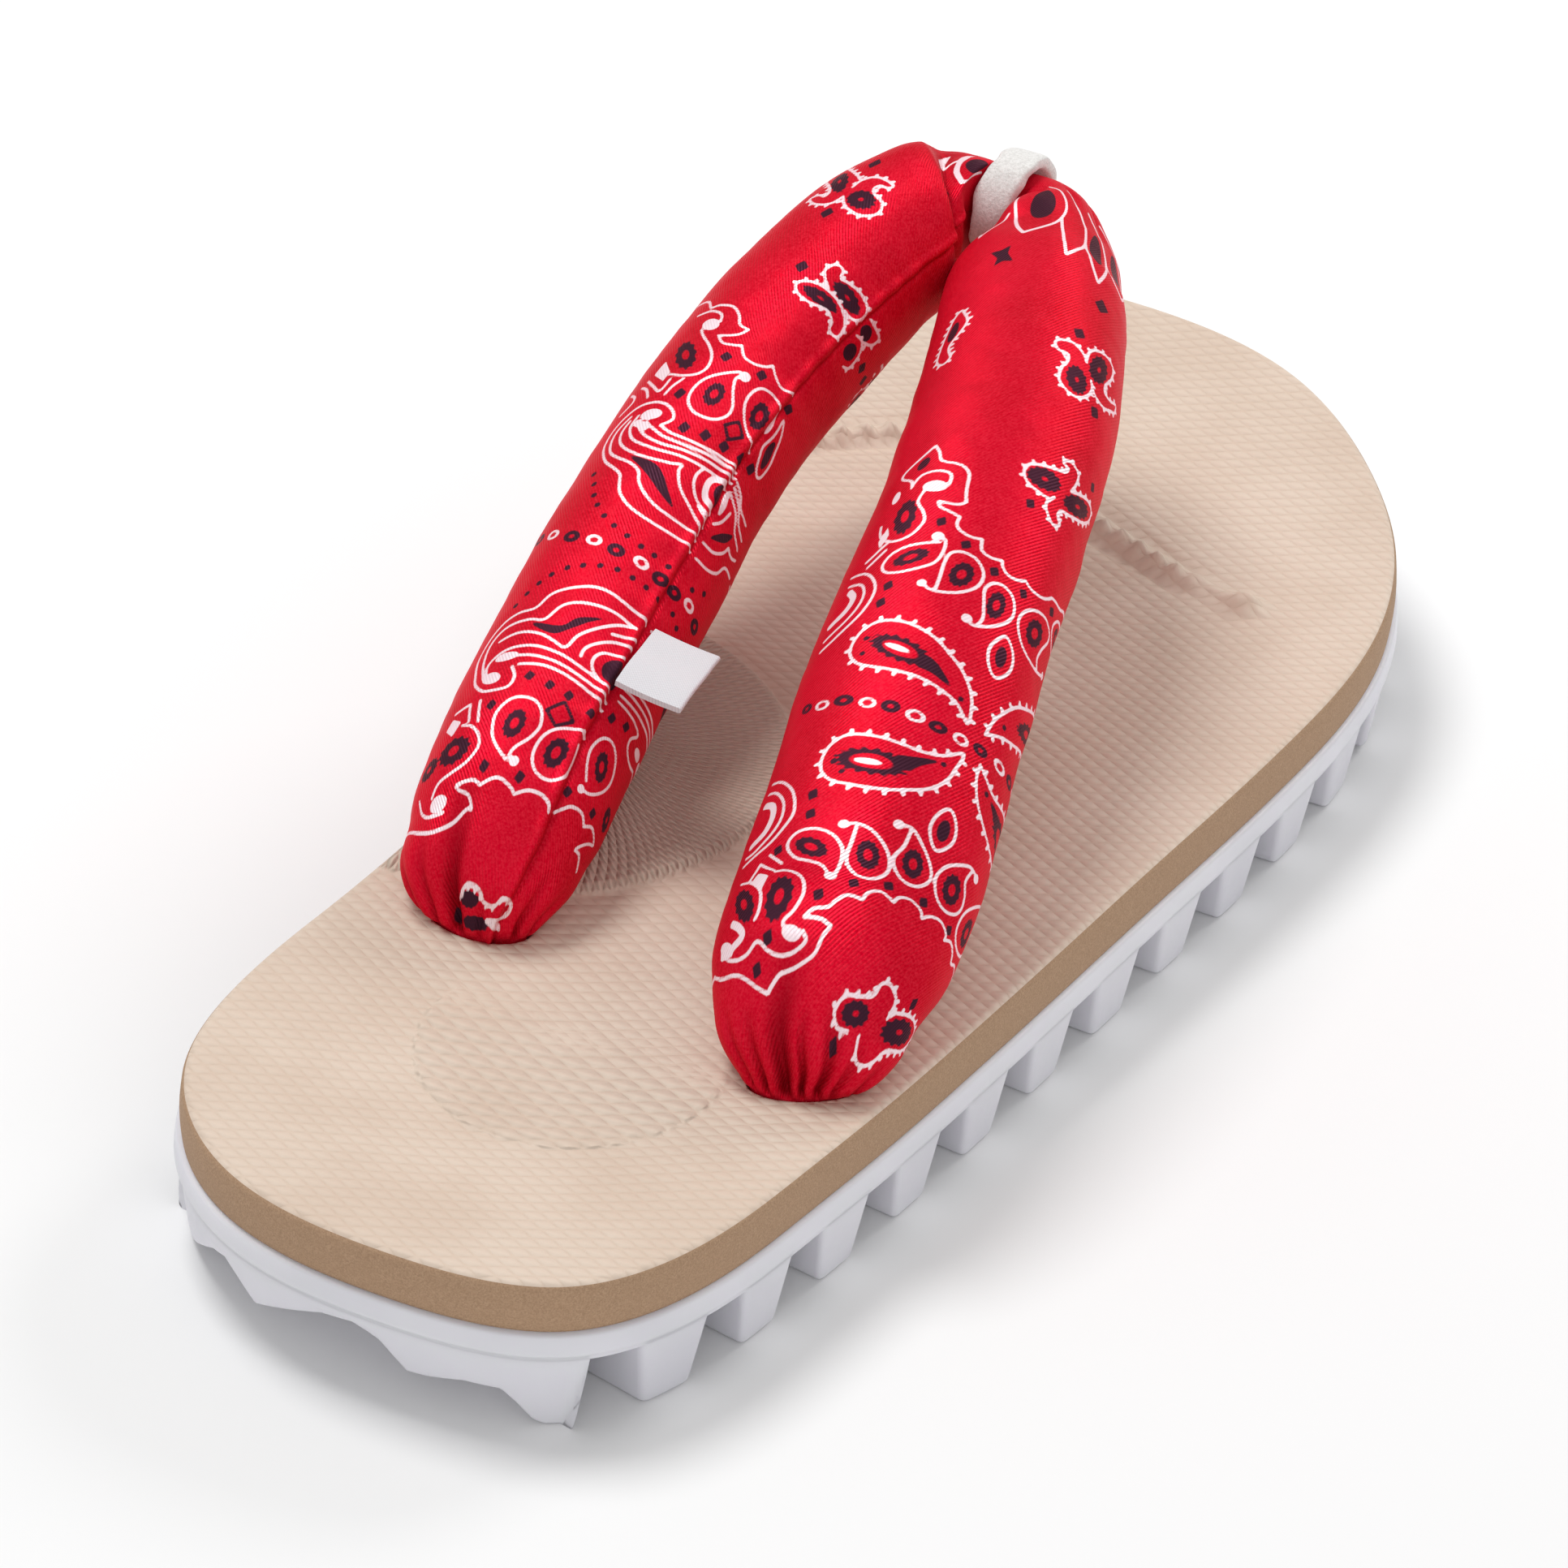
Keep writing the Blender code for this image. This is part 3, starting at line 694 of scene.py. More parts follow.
def loop_space():
    """Make the cutter for the slot that holds the toe post."""
    x, y = (-15.4, -6.9), (82.2, 92.8)
    z = (12.0, 60.0)
    vertices = [(a, b, c) for a in x for b in y for c in z]
    faces = [(0, 1, 3, 2), (4, 6, 7, 5), (0, 4, 5, 1), (2, 3, 7, 6), (0, 2, 6, 4), (1, 5, 7, 3)]
    return make_cutter("post_cutter", vertices, faces)


# Outsole

FOOT_ROUND = 0.9
HEEL_REACH = 26.0
LUG_CORNER = 1.3
CORNER_SAMPLES = 400
LUG_SIDE_SAMPLES = 22
RIM_PROFILE = (
    (1.00, 0.00), (0.98, 0.50), (0.94, 0.78), (0.88, 0.92), (0.60, 1.10), (0.38, 1.22), (0.30, 1.25),
    (0.25, 1.20), (0.21, 1.05), (0.18, 0.80), (0.15, 0.62), (0.10, 0.57), (0.00, 0.55),
)


def make_outsole():
    """Make the rim, the cross lugs and the wavy heel skirt."""
    vertices = []
    faces = []
    loop = sole_outline(480)
    normal = outward(loop)
    count = len(loop)
    rings = []
    for height, bulge in RIM_PROFILE:
        moved = loop + normal * (RIM_BULGE * bulge)
        z = LUG_HEIGHT + RIM_HEIGHT * height + rim_lift(moved[:, 1])
        rings.append(len(vertices))
        vertices.extend(np.column_stack([moved, z]).tolist())
    for upper, lower in zip(rings, rings[1:]):
        for place in range(count):
            following = (place + 1) % count
            faces.append((lower + place, lower + following, upper + following, upper + place))
    for ring, flip in ((rings[0], 1), (rings[-1], -1)):
        for row in range(1, count // 2 - 1):
            quad = (ring + row, ring + row + 1, ring + count - row - 1, ring + count - row)
            faces.append(quad[::flip])
        faces.append((ring, ring + 1, ring + count - 1)[::flip])
        half = count // 2
        faces.append((ring + half - 1, ring + half, ring + half + 1)[::flip])
    add_lugs(vertices, faces)
    add_heel(vertices, faces)
    return make_piece("outsole_rubber", vertices, faces, [rubber_material()], "outsole", sharp=0.7)


def chord(number):
    """Return the middle point and forward direction of one notch."""
    loop = sole_outline(720)
    step = np.linalg.norm(np.roll(loop, -1, axis=0) - loop, axis=1).mean()
    outer = loop[int(round((OUTER_NOTCHES[0] + number * OUTER_NOTCHES[1]) / step)) % 720]
    inner = loop[int(round(-(INNER_NOTCHES[0] + number * INNER_NOTCHES[1]) / step)) % 720]
    axis = (outer - inner) / np.linalg.norm(outer - inner)
    return inner, np.array([-axis[1], axis[0]])


def side_run(loop, rear, front, outer_side):
    """Return the outline between two cuts on one side, from rear to front."""
    half = len(loop) // 2
    run = loop[: half + 1] if outer_side else loop[half:][::-1]
    if not outer_side:
        run = np.vstack([loop[:1], run])
    keep = np.ones(len(run), dtype=bool)
    ends = []
    cuts = [(rear, 1)] if front is None else [(rear, 1), (front, -1)]
    for (point, forward, offset), sign in cuts:
        value = (run - point) @ forward - offset
        keep &= value * sign > 0
        cross = np.where((value[:-1] <= 0) & (value[1:] > 0))[0][0]
        share = -value[cross] / (value[cross + 1] - value[cross])
        ends.append(run[cross] * (1 - share) + run[cross + 1] * share)
    return np.vstack([ends[0], run[keep]] + ends[1:])


def resample(points, samples):
    """Resample an open run of points at equal distances."""
    points = np.asarray(points, dtype=float)
    travelled = lengths_along(points)
    wanted = np.linspace(0.0, travelled[-1], samples)
    return np.column_stack([np.interp(wanted, travelled, points[:, i]) for i in range(points.shape[1])])


def without_corners(side):
    """Return a side, finely resampled, without the ends that the rounded corners take."""
    share = min(0.4, LUG_CORNER / lengths_along(side)[-1])
    cut = int(CORNER_SAMPLES * share)
    return resample(side, CORNER_SAMPLES)[cut: CORNER_SAMPLES - cut]


def lug_polygon(loop, rear, front, inset):
    """Return a lug's outline at one height, with rounded corners."""
    outer = side_run(loop, rear, front, True)
    inner = side_run(loop, rear, front, False)
    if front is None:
        path = np.vstack([outer, inner[::-1][1:]])
        sides = [np.vstack([inner[:1], outer[:1]]), path]
    else:
        sides = [
            np.vstack([inner[:1], outer[:1]]), outer,
            np.vstack([outer[-1:], inner[-1:]]), inner[::-1],
        ]
    trimmed = [without_corners(side) for side in sides]
    points = []
    for number, side in enumerate(sides):
        count = LUG_SIDE_SAMPLES * (4 if len(sides) == 2 and len(side) > 2 else 1)
        run = resample(trimmed[number], count)
        points.extend(run)
        target = trimmed[(number + 1) % len(sides)][0]
        for t in (0.2, 0.4, 0.6, 0.8):
            points.append((1 - t) ** 2 * run[-1] + 2 * t * (1 - t) * side[-1] + t * t * target)
    points = np.array(points)
    if inset:
        tangent = np.roll(points, -1, axis=0) - np.roll(points, 1, axis=0)
        out = np.column_stack([tangent[:, 1], -tangent[:, 0]])
        out = out / np.linalg.norm(out, axis=1)[:, None]
        points = points - out * inset
    return points


def add_lugs(vertices, faces):
    """Add the cross lugs in front of the heel block, with soft edges at the floor."""
    base = sole_outline(720)
    normal = outward(base)
    chords = [chord(number) for number in range(NOTCH_COUNT)]
    for number in range(1, NOTCH_COUNT + 1):
        rings = []
        steps = [(share, 0.0) for share in (1.12, 1.0, 0.75, 0.5, 0.25)]
        steps += [(None, angle) for angle in np.linspace(0.0, pi / 2.0, 5)]
        for share, angle in steps:
            rise = LUG_HEIGHT * share if share is not None else FOOT_ROUND * (1.0 - sin(angle))
            inset = 0.0 if share is not None else FOOT_ROUND * (1.0 - cos(angle))
            part = min(1.0, rise / LUG_HEIGHT)
            grow = RIM_BULGE * 0.55 - LUG_TAPER * (1.0 - part)
            loop = base + normal * grow
            half = NOTCH_HALF_FOOT * (1.0 - part) + NOTCH_HALF_TOP * part
            rear = chords[number - 1] + (half,)
            front = None if number == NOTCH_COUNT else chords[number] + (-half,)
            ring = lug_polygon(loop, rear, front, inset)
            lift = toe_lift(ring[:, 1]) * (1.0 - part) + rim_lift(ring[:, 1]) * part
            rings.append(np.column_stack([ring, rise + lift]))
        first = len(vertices)
        size = len(rings[0])
        for ring in rings:
            vertices.extend(ring.tolist())
        for level in range(len(rings) - 1):
            upper = first + level * size
            lower = upper + size
            for place in range(size):
                following = (place + 1) % size
                faces.append((lower + place, lower + following, upper + following, upper + place))
        faces.append(tuple(range(first + (len(rings) - 1) * size, first + len(rings) * size))[::-1])
        faces.append(tuple(range(first, first + size)))


def add_heel(vertices, faces):
    """Add the heel block: its outer wall ends in a stepped wave, and it stands on its inner part."""
    base = sole_outline(1440)
    normal = outward(base)
    step = np.linalg.norm(np.roll(base, -1, axis=0) - base, axis=1).mean()
    wave = np.array(SKIRT_WAVE)
    middle, forward = chord(0)
    first = len(vertices)
    behind = np.array([(base[k % 1440] - middle) @ forward < -NOTCH_HALF_TOP for k in range(-200, 200)])
    places = np.arange(-200, 200)[behind]
    places = np.arange(places[0] - 1, places[-1] + 2)
    for place in places:
        distance = place * step
        bottom = float(np.interp(distance, wave[:, 0], wave[:, 1], 0.0, 0.0))
        point, out = base[place % 1440], normal[place % 1440]
        top = LUG_HEIGHT
        face = RIM_BULGE * 0.55
        low_edge = face - LUG_TAPER * (top - bottom) / LUG_HEIGHT
        radius = min(0.9, (top - bottom) * 0.4)
        lines = [(-HEEL_REACH, top + 1.3), (face - 0.4, top + 1.3), (face, top)]
        for share in (0.3, 0.6, 0.85):
            z = top * (1.0 - share) + (bottom + radius) * share
            lines.append((face - LUG_TAPER * (top - z) / LUG_HEIGHT, z))
        for angle in np.linspace(0.0, pi / 2.0, 5):
            lines.append((low_edge - radius * (1.0 - cos(angle)), bottom + radius * (1.0 - sin(angle))))
        for inward in (-4.0, -8.0, -SKIRT_DEPTH):
            lines.append((inward, bottom))
        lines += [(-SKIRT_DEPTH - 0.4, bottom * 0.5), (-SKIRT_DEPTH - 1.0, 0.0), (-HEEL_REACH, 0.0)]
        for out_by, z in lines:
            spot = point + out * out_by
            part = min(1.0, z / LUG_HEIGHT)
            half = NOTCH_HALF_FOOT * (1.0 - part) + NOTCH_HALF_TOP * part
            over = float((spot - middle) @ forward) + half
            if over > 0.0:
                spot = spot - forward * over
            vertices.append((spot[0], spot[1], z + float(rim_lift(spot[1])) * part))
    faces.extend(tube_faces(first, len(places), len(lines)))


# Strap

def strap_line():
    """Return centre, frame and half sizes at close steps along the whole strap."""
    rows = np.array(STRAP_ROWS)
    last = len(rows) - 1
    fine = []
    for row in range(last):
        before, start = rows[max(row - 1, 0)], rows[row]
        end, after = rows[row + 1], rows[min(row + 2, last)]
        span = np.linalg.norm(end[:3] - start[:3])
        span_before = max(np.linalg.norm(start[:3] - before[:3]), 0.5 * span)
        span_after = max(np.linalg.norm(after[:3] - end[:3]), 0.5 * span)
        start_slope = (end - before) / (span + span_before)
        end_slope = (after - start) / (span + span_after)
        if row == NECK_INDEX:
            neck = len(fine)
        for share in np.arange(40) / 40.0:
            fine.append(hermite(start, end, start_slope, end_slope, span, share))
    fine.append(rows[-1])
    fine = np.array(fine)
    travelled = lengths_along(fine[:, :3])
    neck_at = travelled[neck]
    tangent = np.gradient(fine[:, :3], axis=0)
    tangent /= np.linalg.norm(tangent, axis=1)[:, None]
    width = np.cross((0.0, 0.0, 1.0), tangent)
    width /= np.linalg.norm(width, axis=1)[:, None]
    depth = np.cross(tangent, width)
    s = np.arange(0.0, travelled[-1], 0.42)
    s = np.append(s, travelled[-1])

    def take(values):
        """Return the values at every step."""
        return np.column_stack([np.interp(s, travelled, values[:, i]) for i in range(values.shape[1])])

    picked = take(fine)
    return {
        "s": s, "neck": neck_at, "centre": picked[:, :3],
        "a": picked[:, 3] * STRAP_RADIUS, "b": picked[:, 4] * STRAP_RADIUS,
        "width": take(width), "depth": take(depth),
    }


BAND_HALF = 3.3
LOOP_OUTER_RADIUS = 9.1
LOOP_HOLE_RADIUS = 6.65
INNER_SEAM = ((0, -6.0), (4, -7.6), (8, -9.3), (13, -10.5), (30, -11.0), (50, -12.5), (80, -13.5),
        (95, -14.3), (105, -15.5), (120, -16.5), (135, -17.5), (150, -19.5), (158, -21.0), (180, -24.0))
INNER_CREASE = ((156.5, -26.0), (159.0, -18.0), (161.8, -12.0), (164.2, -7.0), (165.6, -2.0), (166.8, 3.0),
                (168.2, 9.0), (169.2, 16.0), (169.2, 26.0))


def folds(u, v, troughs):
    """Return troughs that run along the strap from a gathered end: place, depth, length, width."""
    relief = np.zeros(np.shape(u))
    for centre, depth, reach, width in troughs:
        wander = centre * (1.0 + 0.014 * u) + 0.35 * np.sin(u * 0.35 + centre)
        fade = np.clip(1.0 - u / reach, 0.0, 1.0) ** 0.8
        spread = width * (0.75 + 0.6 * u / reach)
        relief = np.minimum(relief, -depth * fade * np.exp(-(((v - wander) / spread) ** 2)))
    return relief


OUTER_FOLDS = ((-3.4, 2.9, 19.0, 2.1), (0.6, 2.6, 12.0, 0.8), (-9.0, 2.2, 11.0, 1.1),
        (5.2, 2.3, 14.0, 1.2), (9.8, 1.5, 11.0, 1.0), (-14.0, 1.5, 11.0, 1.1), (15.5, 1.4, 9.0, 1.1),
        (22.0, 1.5, 12.0, 1.3), (-21.0, 1.4, 13.0, 1.3), (30.0, 1.4, 12.0, 1.3), (-29.0, 1.4, 12.0, 1.3),
        (40.0, 1.3, 12.0, 1.3), (-38.0, 1.3, 12.0, 1.3), (47.5, 1.3, 12.0, 1.3))
INNER_FOLDS = ((4.6, 2.8, 18.0, 1.9), (11.0, 1.7, 12.0, 1.2), (-2.0, 1.0, 8.0, 0.8),
        (-13.5, 1.7, 11.0, 1.1), (16.5, 1.5, 10.0, 1.1), (-19.5, 1.3, 10.0, 1.2), (23.5, 1.4, 12.0, 1.2),
        (-27.0, 1.3, 12.0, 1.3), (32.0, 1.3, 12.0, 1.3), (-36.0, 1.3, 12.0, 1.3), (41.0, 1.3, 12.0, 1.3))
OUTER_NECK_FOLDS = ((-24, 1.0, 24.0, 1.4), (-13, 1.1, 20.0, 1.3), (-5, 0.8, 12.0, 1.2), (4, 1.0, 15.0, 1.2),
                    (12, 1.1, 20.0, 1.3), (21, 1.2, 22.0, 1.4), (31, 1.1, 20.0, 1.4), (42, 1.1, 20.0, 1.4))
INNER_NECK_FOLDS = ((-30, 1.0, 14.0, 1.4), (-14, 1.1, 15.0, 1.3), (-3, 0.9, 9.0, 1.1), (9, 0.9, 12.0, 1.2),
                    (19, 1.0, 15.0, 1.3), (30, 1.0, 14.0, 1.4), (41, 1.0, 14.0, 1.4))


def hill(value, centre, width):
    """Return a bell curve of height 1."""
    return np.exp(-(((value - centre) / width) ** 2))


def strap_relief(arm, u, v, length, height):
    """Return the outward offset of the cloth, and how deep in a fold it lies from 0 to 1, which sets the
    painted shade in the folds.
    """
    relief = 0.30 * noise(u + 40, v + 60, 19.0, 3) + 0.18 * noise(u + 40, v + 60, 8.0, 4)
    relief = relief + 0.05 * noise(u + 40, v + 60, 2.6, 5)
    relief = relief * smooth(u, 4.0, 20.0) * smooth(length - u, 2.0, 14.0)
    # the stuffed end swells over the hole it comes out of
    upper = smooth(np.cos(v / PRINT_RADIUS), -0.9, -0.3)
    swell = np.clip((height - 0.2) / 2.6, 0.0, 1.0)
    amount = 0.7 + 0.6 * smooth(np.abs(v), 6.0, 20.0) + 1.7 * hill(v, 19.0, 10.0)
    relief = relief + amount * upper * np.sqrt(1.0 - (1.0 - swell) ** 2) * (1.0 - smooth(u, 6.0, 16.0))
    rising = smooth(height, -0.3, 1.4)
    near_neck = smooth(length - u, 6.0, 10.0)
    if arm == "outer":
        rear, front = folds(u, v, OUTER_FOLDS) * rising, folds(length - u, v, OUTER_NECK_FOLDS) * near_neck
        relief = relief + rear + front + 2.6 * hill(u, 183.0, 6.0) * hill(v, -12.0, 9.0) * near_neck
        relief = relief + 1.4 * hill(u, 172.0, 10.0) * hill(v, -22.0, 11.0)
        relief = relief - 1.2 * hill(u, 181.0, 8.0) * hill(v, 14.0, 10.0)
        # the second value is painted shade, deepest in the folds
        return relief, np.clip(-rear / 1.7 - front * 0.35, 0.0, 1.0)
    rear, front = folds(u, v, INNER_FOLDS) * rising, folds(length - u, v, INNER_NECK_FOLDS) * near_neck
    relief = relief + rear + front
    seam = np.array(INNER_SEAM)
    off = v - np.interp(u, seam[:, 0], seam[:, 1])
    relief = relief - 0.85 * hill(off, 0.0, 0.5) + 0.45 * hill(off, 1.3, 0.9)
    relief = relief - 0.7 * (1.0 - smooth(off, -0.6, 0.1)) * hill(off, 0.0, 9.0)
    pucker = 0.16 * np.sin(2.0 * pi * u / 6.3 + 2.0 * noise(u, v, 15.0, 8))
    relief = relief + pucker * hill(off, 0.0, 4.5)
    crease = u - np.interp(v, [p[1] for p in INNER_CREASE], [p[0] for p in INNER_CREASE])
    near_top = 1.0 - 0.8 * smooth(v, 2.0, 14.0)
    relief = relief + 0.6 * hill(crease, -3.9, 3.0) * near_top
    drop = smooth(crease, -2.0, 0.8) * np.exp(-((np.maximum(crease, 0.0) / 5.0) ** 2))
    # painted shade: deeper in the folds, along the seam groove and in the crease
    fold_shade = -rear / 1.7 - front * 0.35 + 0.5 * hill(off, 0.0, 0.5) + 0.6 * hill(crease, 0.8, 1.6) * near_top
    return relief - (3.0 * drop + 0.8 * hill(crease, 0.6, 0.9)) * near_top, np.clip(fold_shade, 0.0, 1.0)


# Print

# Pitch and size of the small teeth
SMALL_TEETH = (1.75, 0.52)
# The chart goes on mirrored beyond these places round each arm
CHART_SIDES = {"outer": (-19.5, 29.5), "inner": (-26.0, 22.0)}
# Half width of a plain white line
WHITE_HALF = 0.26


class Print:
    """Signed fields of the white lines and the dark fills over one arm."""

    def __init__(self, u, v):
        """Start both fields empty."""
        self.u, self.v = u, v
        self.white = np.full(u.shape, -3.0)
        self.dark = np.full(u.shape, -3.0)

    def near(self, points, margin):
        """Return where the mesh comes near the points."""
        points = np.asarray(points, dtype=float)
        low, high = points.min(axis=0) - margin, points.max(axis=0) + margin
        return np.where((self.u > low[0]) & (self.u < high[0]) & (self.v > low[1]) & (self.v < high[1]))

    def line(self, points, half=WHITE_HALF, field="white", curved=True):
        """Draw a line of the given half width."""
        run = curve(points) if curved else np.asarray(points, dtype=float)
        spot = self.near(run, half + 2.6)
        if len(spot[0]) == 0:
            return
        distance, _ = segment_distance(self.u[spot], self.v[spot], run)
        values = getattr(self, field)
        values[spot] = np.maximum(values[spot], half - distance)

    def fill(self, points, field, curved=True, hole=None):
        """Fill a closed shape in one field."""
        closed = list(points) + [points[0]]
        run = curve(closed) if curved else np.asarray(closed, dtype=float)
        spot = self.near(run, 2.6)
        if len(spot[0]) == 0:
            return
        x, y = self.u[spot], self.v[spot]
        distance, _ = segment_distance(x, y, run)
        inside = np.zeros(len(x), dtype=bool)
        for a, b in zip(run, run[1:]):
            crosses = (a[1] > y) != (b[1] > y)
            rise = b[1] - a[1] if b[1] != a[1] else 1e-9
            inside ^= crosses & (x < (b[0] - a[0]) * (y - a[1]) / rise + a[0])
        signed = np.where(inside, distance, -distance)
        if hole is not None:
            signed = np.minimum(signed, hole(x, y))
        values = getattr(self, field)
        values[spot] = np.maximum(values[spot], signed)

    def dot(self, centre, radius, field="dark"):
        """Draw a round dot."""
        self.line([centre, (centre[0] + 0.01, centre[1])], radius, field, curved=False)

    def oval(self, centre, radii, tilt=0.0, field="dark", ring=None, teeth=0, tooth=0.08):
        """Fill an oval; ring keeps a hole of that share, teeth make a jagged edge."""
        turn = tilt * pi / 180.0
        points = []
        steps = max(20, teeth * 4)
        for step in range(steps):
            angle = 2.0 * pi * step / steps
            reach = 1.0
            if teeth:
                reach += tooth * (1.0 if (step * teeth * 2 // steps) % 2 == 0 else -1.0)
            x = radii[0] * reach * cos(angle)
            y = radii[1] * reach * sin(angle)
            points.append((centre[0] + x * cos(turn) - y * sin(turn),
                    centre[1] + x * sin(turn) + y * cos(turn)))
        hole = None
        if ring:
            def hole(x, y):
                """Return the signed distance outside the inner oval."""
                dx, dy = x - centre[0], y - centre[1]
                a = (dx * cos(turn) + dy * sin(turn)) / (radii[0] * ring)
                b = (-dx * sin(turn) + dy * cos(turn)) / (radii[1] * ring)
                return (np.hypot(a, b) - 1.0) * min(radii) * ring
        self.fill(points, field, curved=False, hole=hole)

    def diamond(self, centre, radius=0.85):
        """Draw a small dark lozenge."""
        turn = 20.0 * pi / 180.0
        points = [(centre[0] + radius * 1.35 * cos(turn + k * pi / 2),
                centre[1] + radius * 1.1 * sin(turn + k * pi / 2)) for k in range(4)]
        self.fill(points, "dark", curved=False)

    def drop(self, outline, bulb, ring):
        """Draw a teardrop: white outline, round hook end and a jagged dark ring."""
        self.line(outline)
        if bulb:
            self.dot(bulb[:2], bulb[2], "white")
        if ring:
            self.oval(ring[:2], ring[2:4], ring[4] if len(ring) > 4 else 0.0, "dark", 0.40, 12, 0.07)

    def toothed(self, outline, pitch=2.3, size=0.75, side=1.0):
        """Draw a line with short teeth on one side."""
        run = curve(outline)
        self.line(outline)
        travelled = lengths_along(run)
        for place in np.arange(pitch * 0.6, travelled[-1] - pitch * 0.3, pitch):
            x = np.interp(place, travelled, run[:, 0])
            y = np.interp(place, travelled, run[:, 1])
            x2 = np.interp(place + 0.2, travelled, run[:, 0])
            y2 = np.interp(place + 0.2, travelled, run[:, 1])
            length = sqrt((x2 - x) ** 2 + (y2 - y) ** 2) or 1.0
            out = ((y2 - y) / length * side, -(x2 - x) / length * side)
            tip = (x + out[0] * size, y + out[1] * size)
            self.line([(x, y), tip], 0.32, curved=False)


def curve(points):
    """Return a smooth run of points through the given ones."""
    knots = np.asarray(points, dtype=float)
    if len(knots) < 3:
        return knots
    closed = np.allclose(knots[0], knots[-1])
    run = []
    last = len(knots) - 1
    for place in range(last):
        start, end = knots[place], knots[place + 1]
        before = knots[place - 1] if place > 0 else (knots[-2] if closed else start)
        after = knots[place + 2] if place + 2 <= last else (knots[1] if closed else end)
        for share in (0.0, 0.25, 0.5, 0.75):
            run.append(hermite(start, end, (end - before) / 2.0, (after - start) / 2.0, 1.0, share))
    run.append(knots[-1])
    return np.array(run)


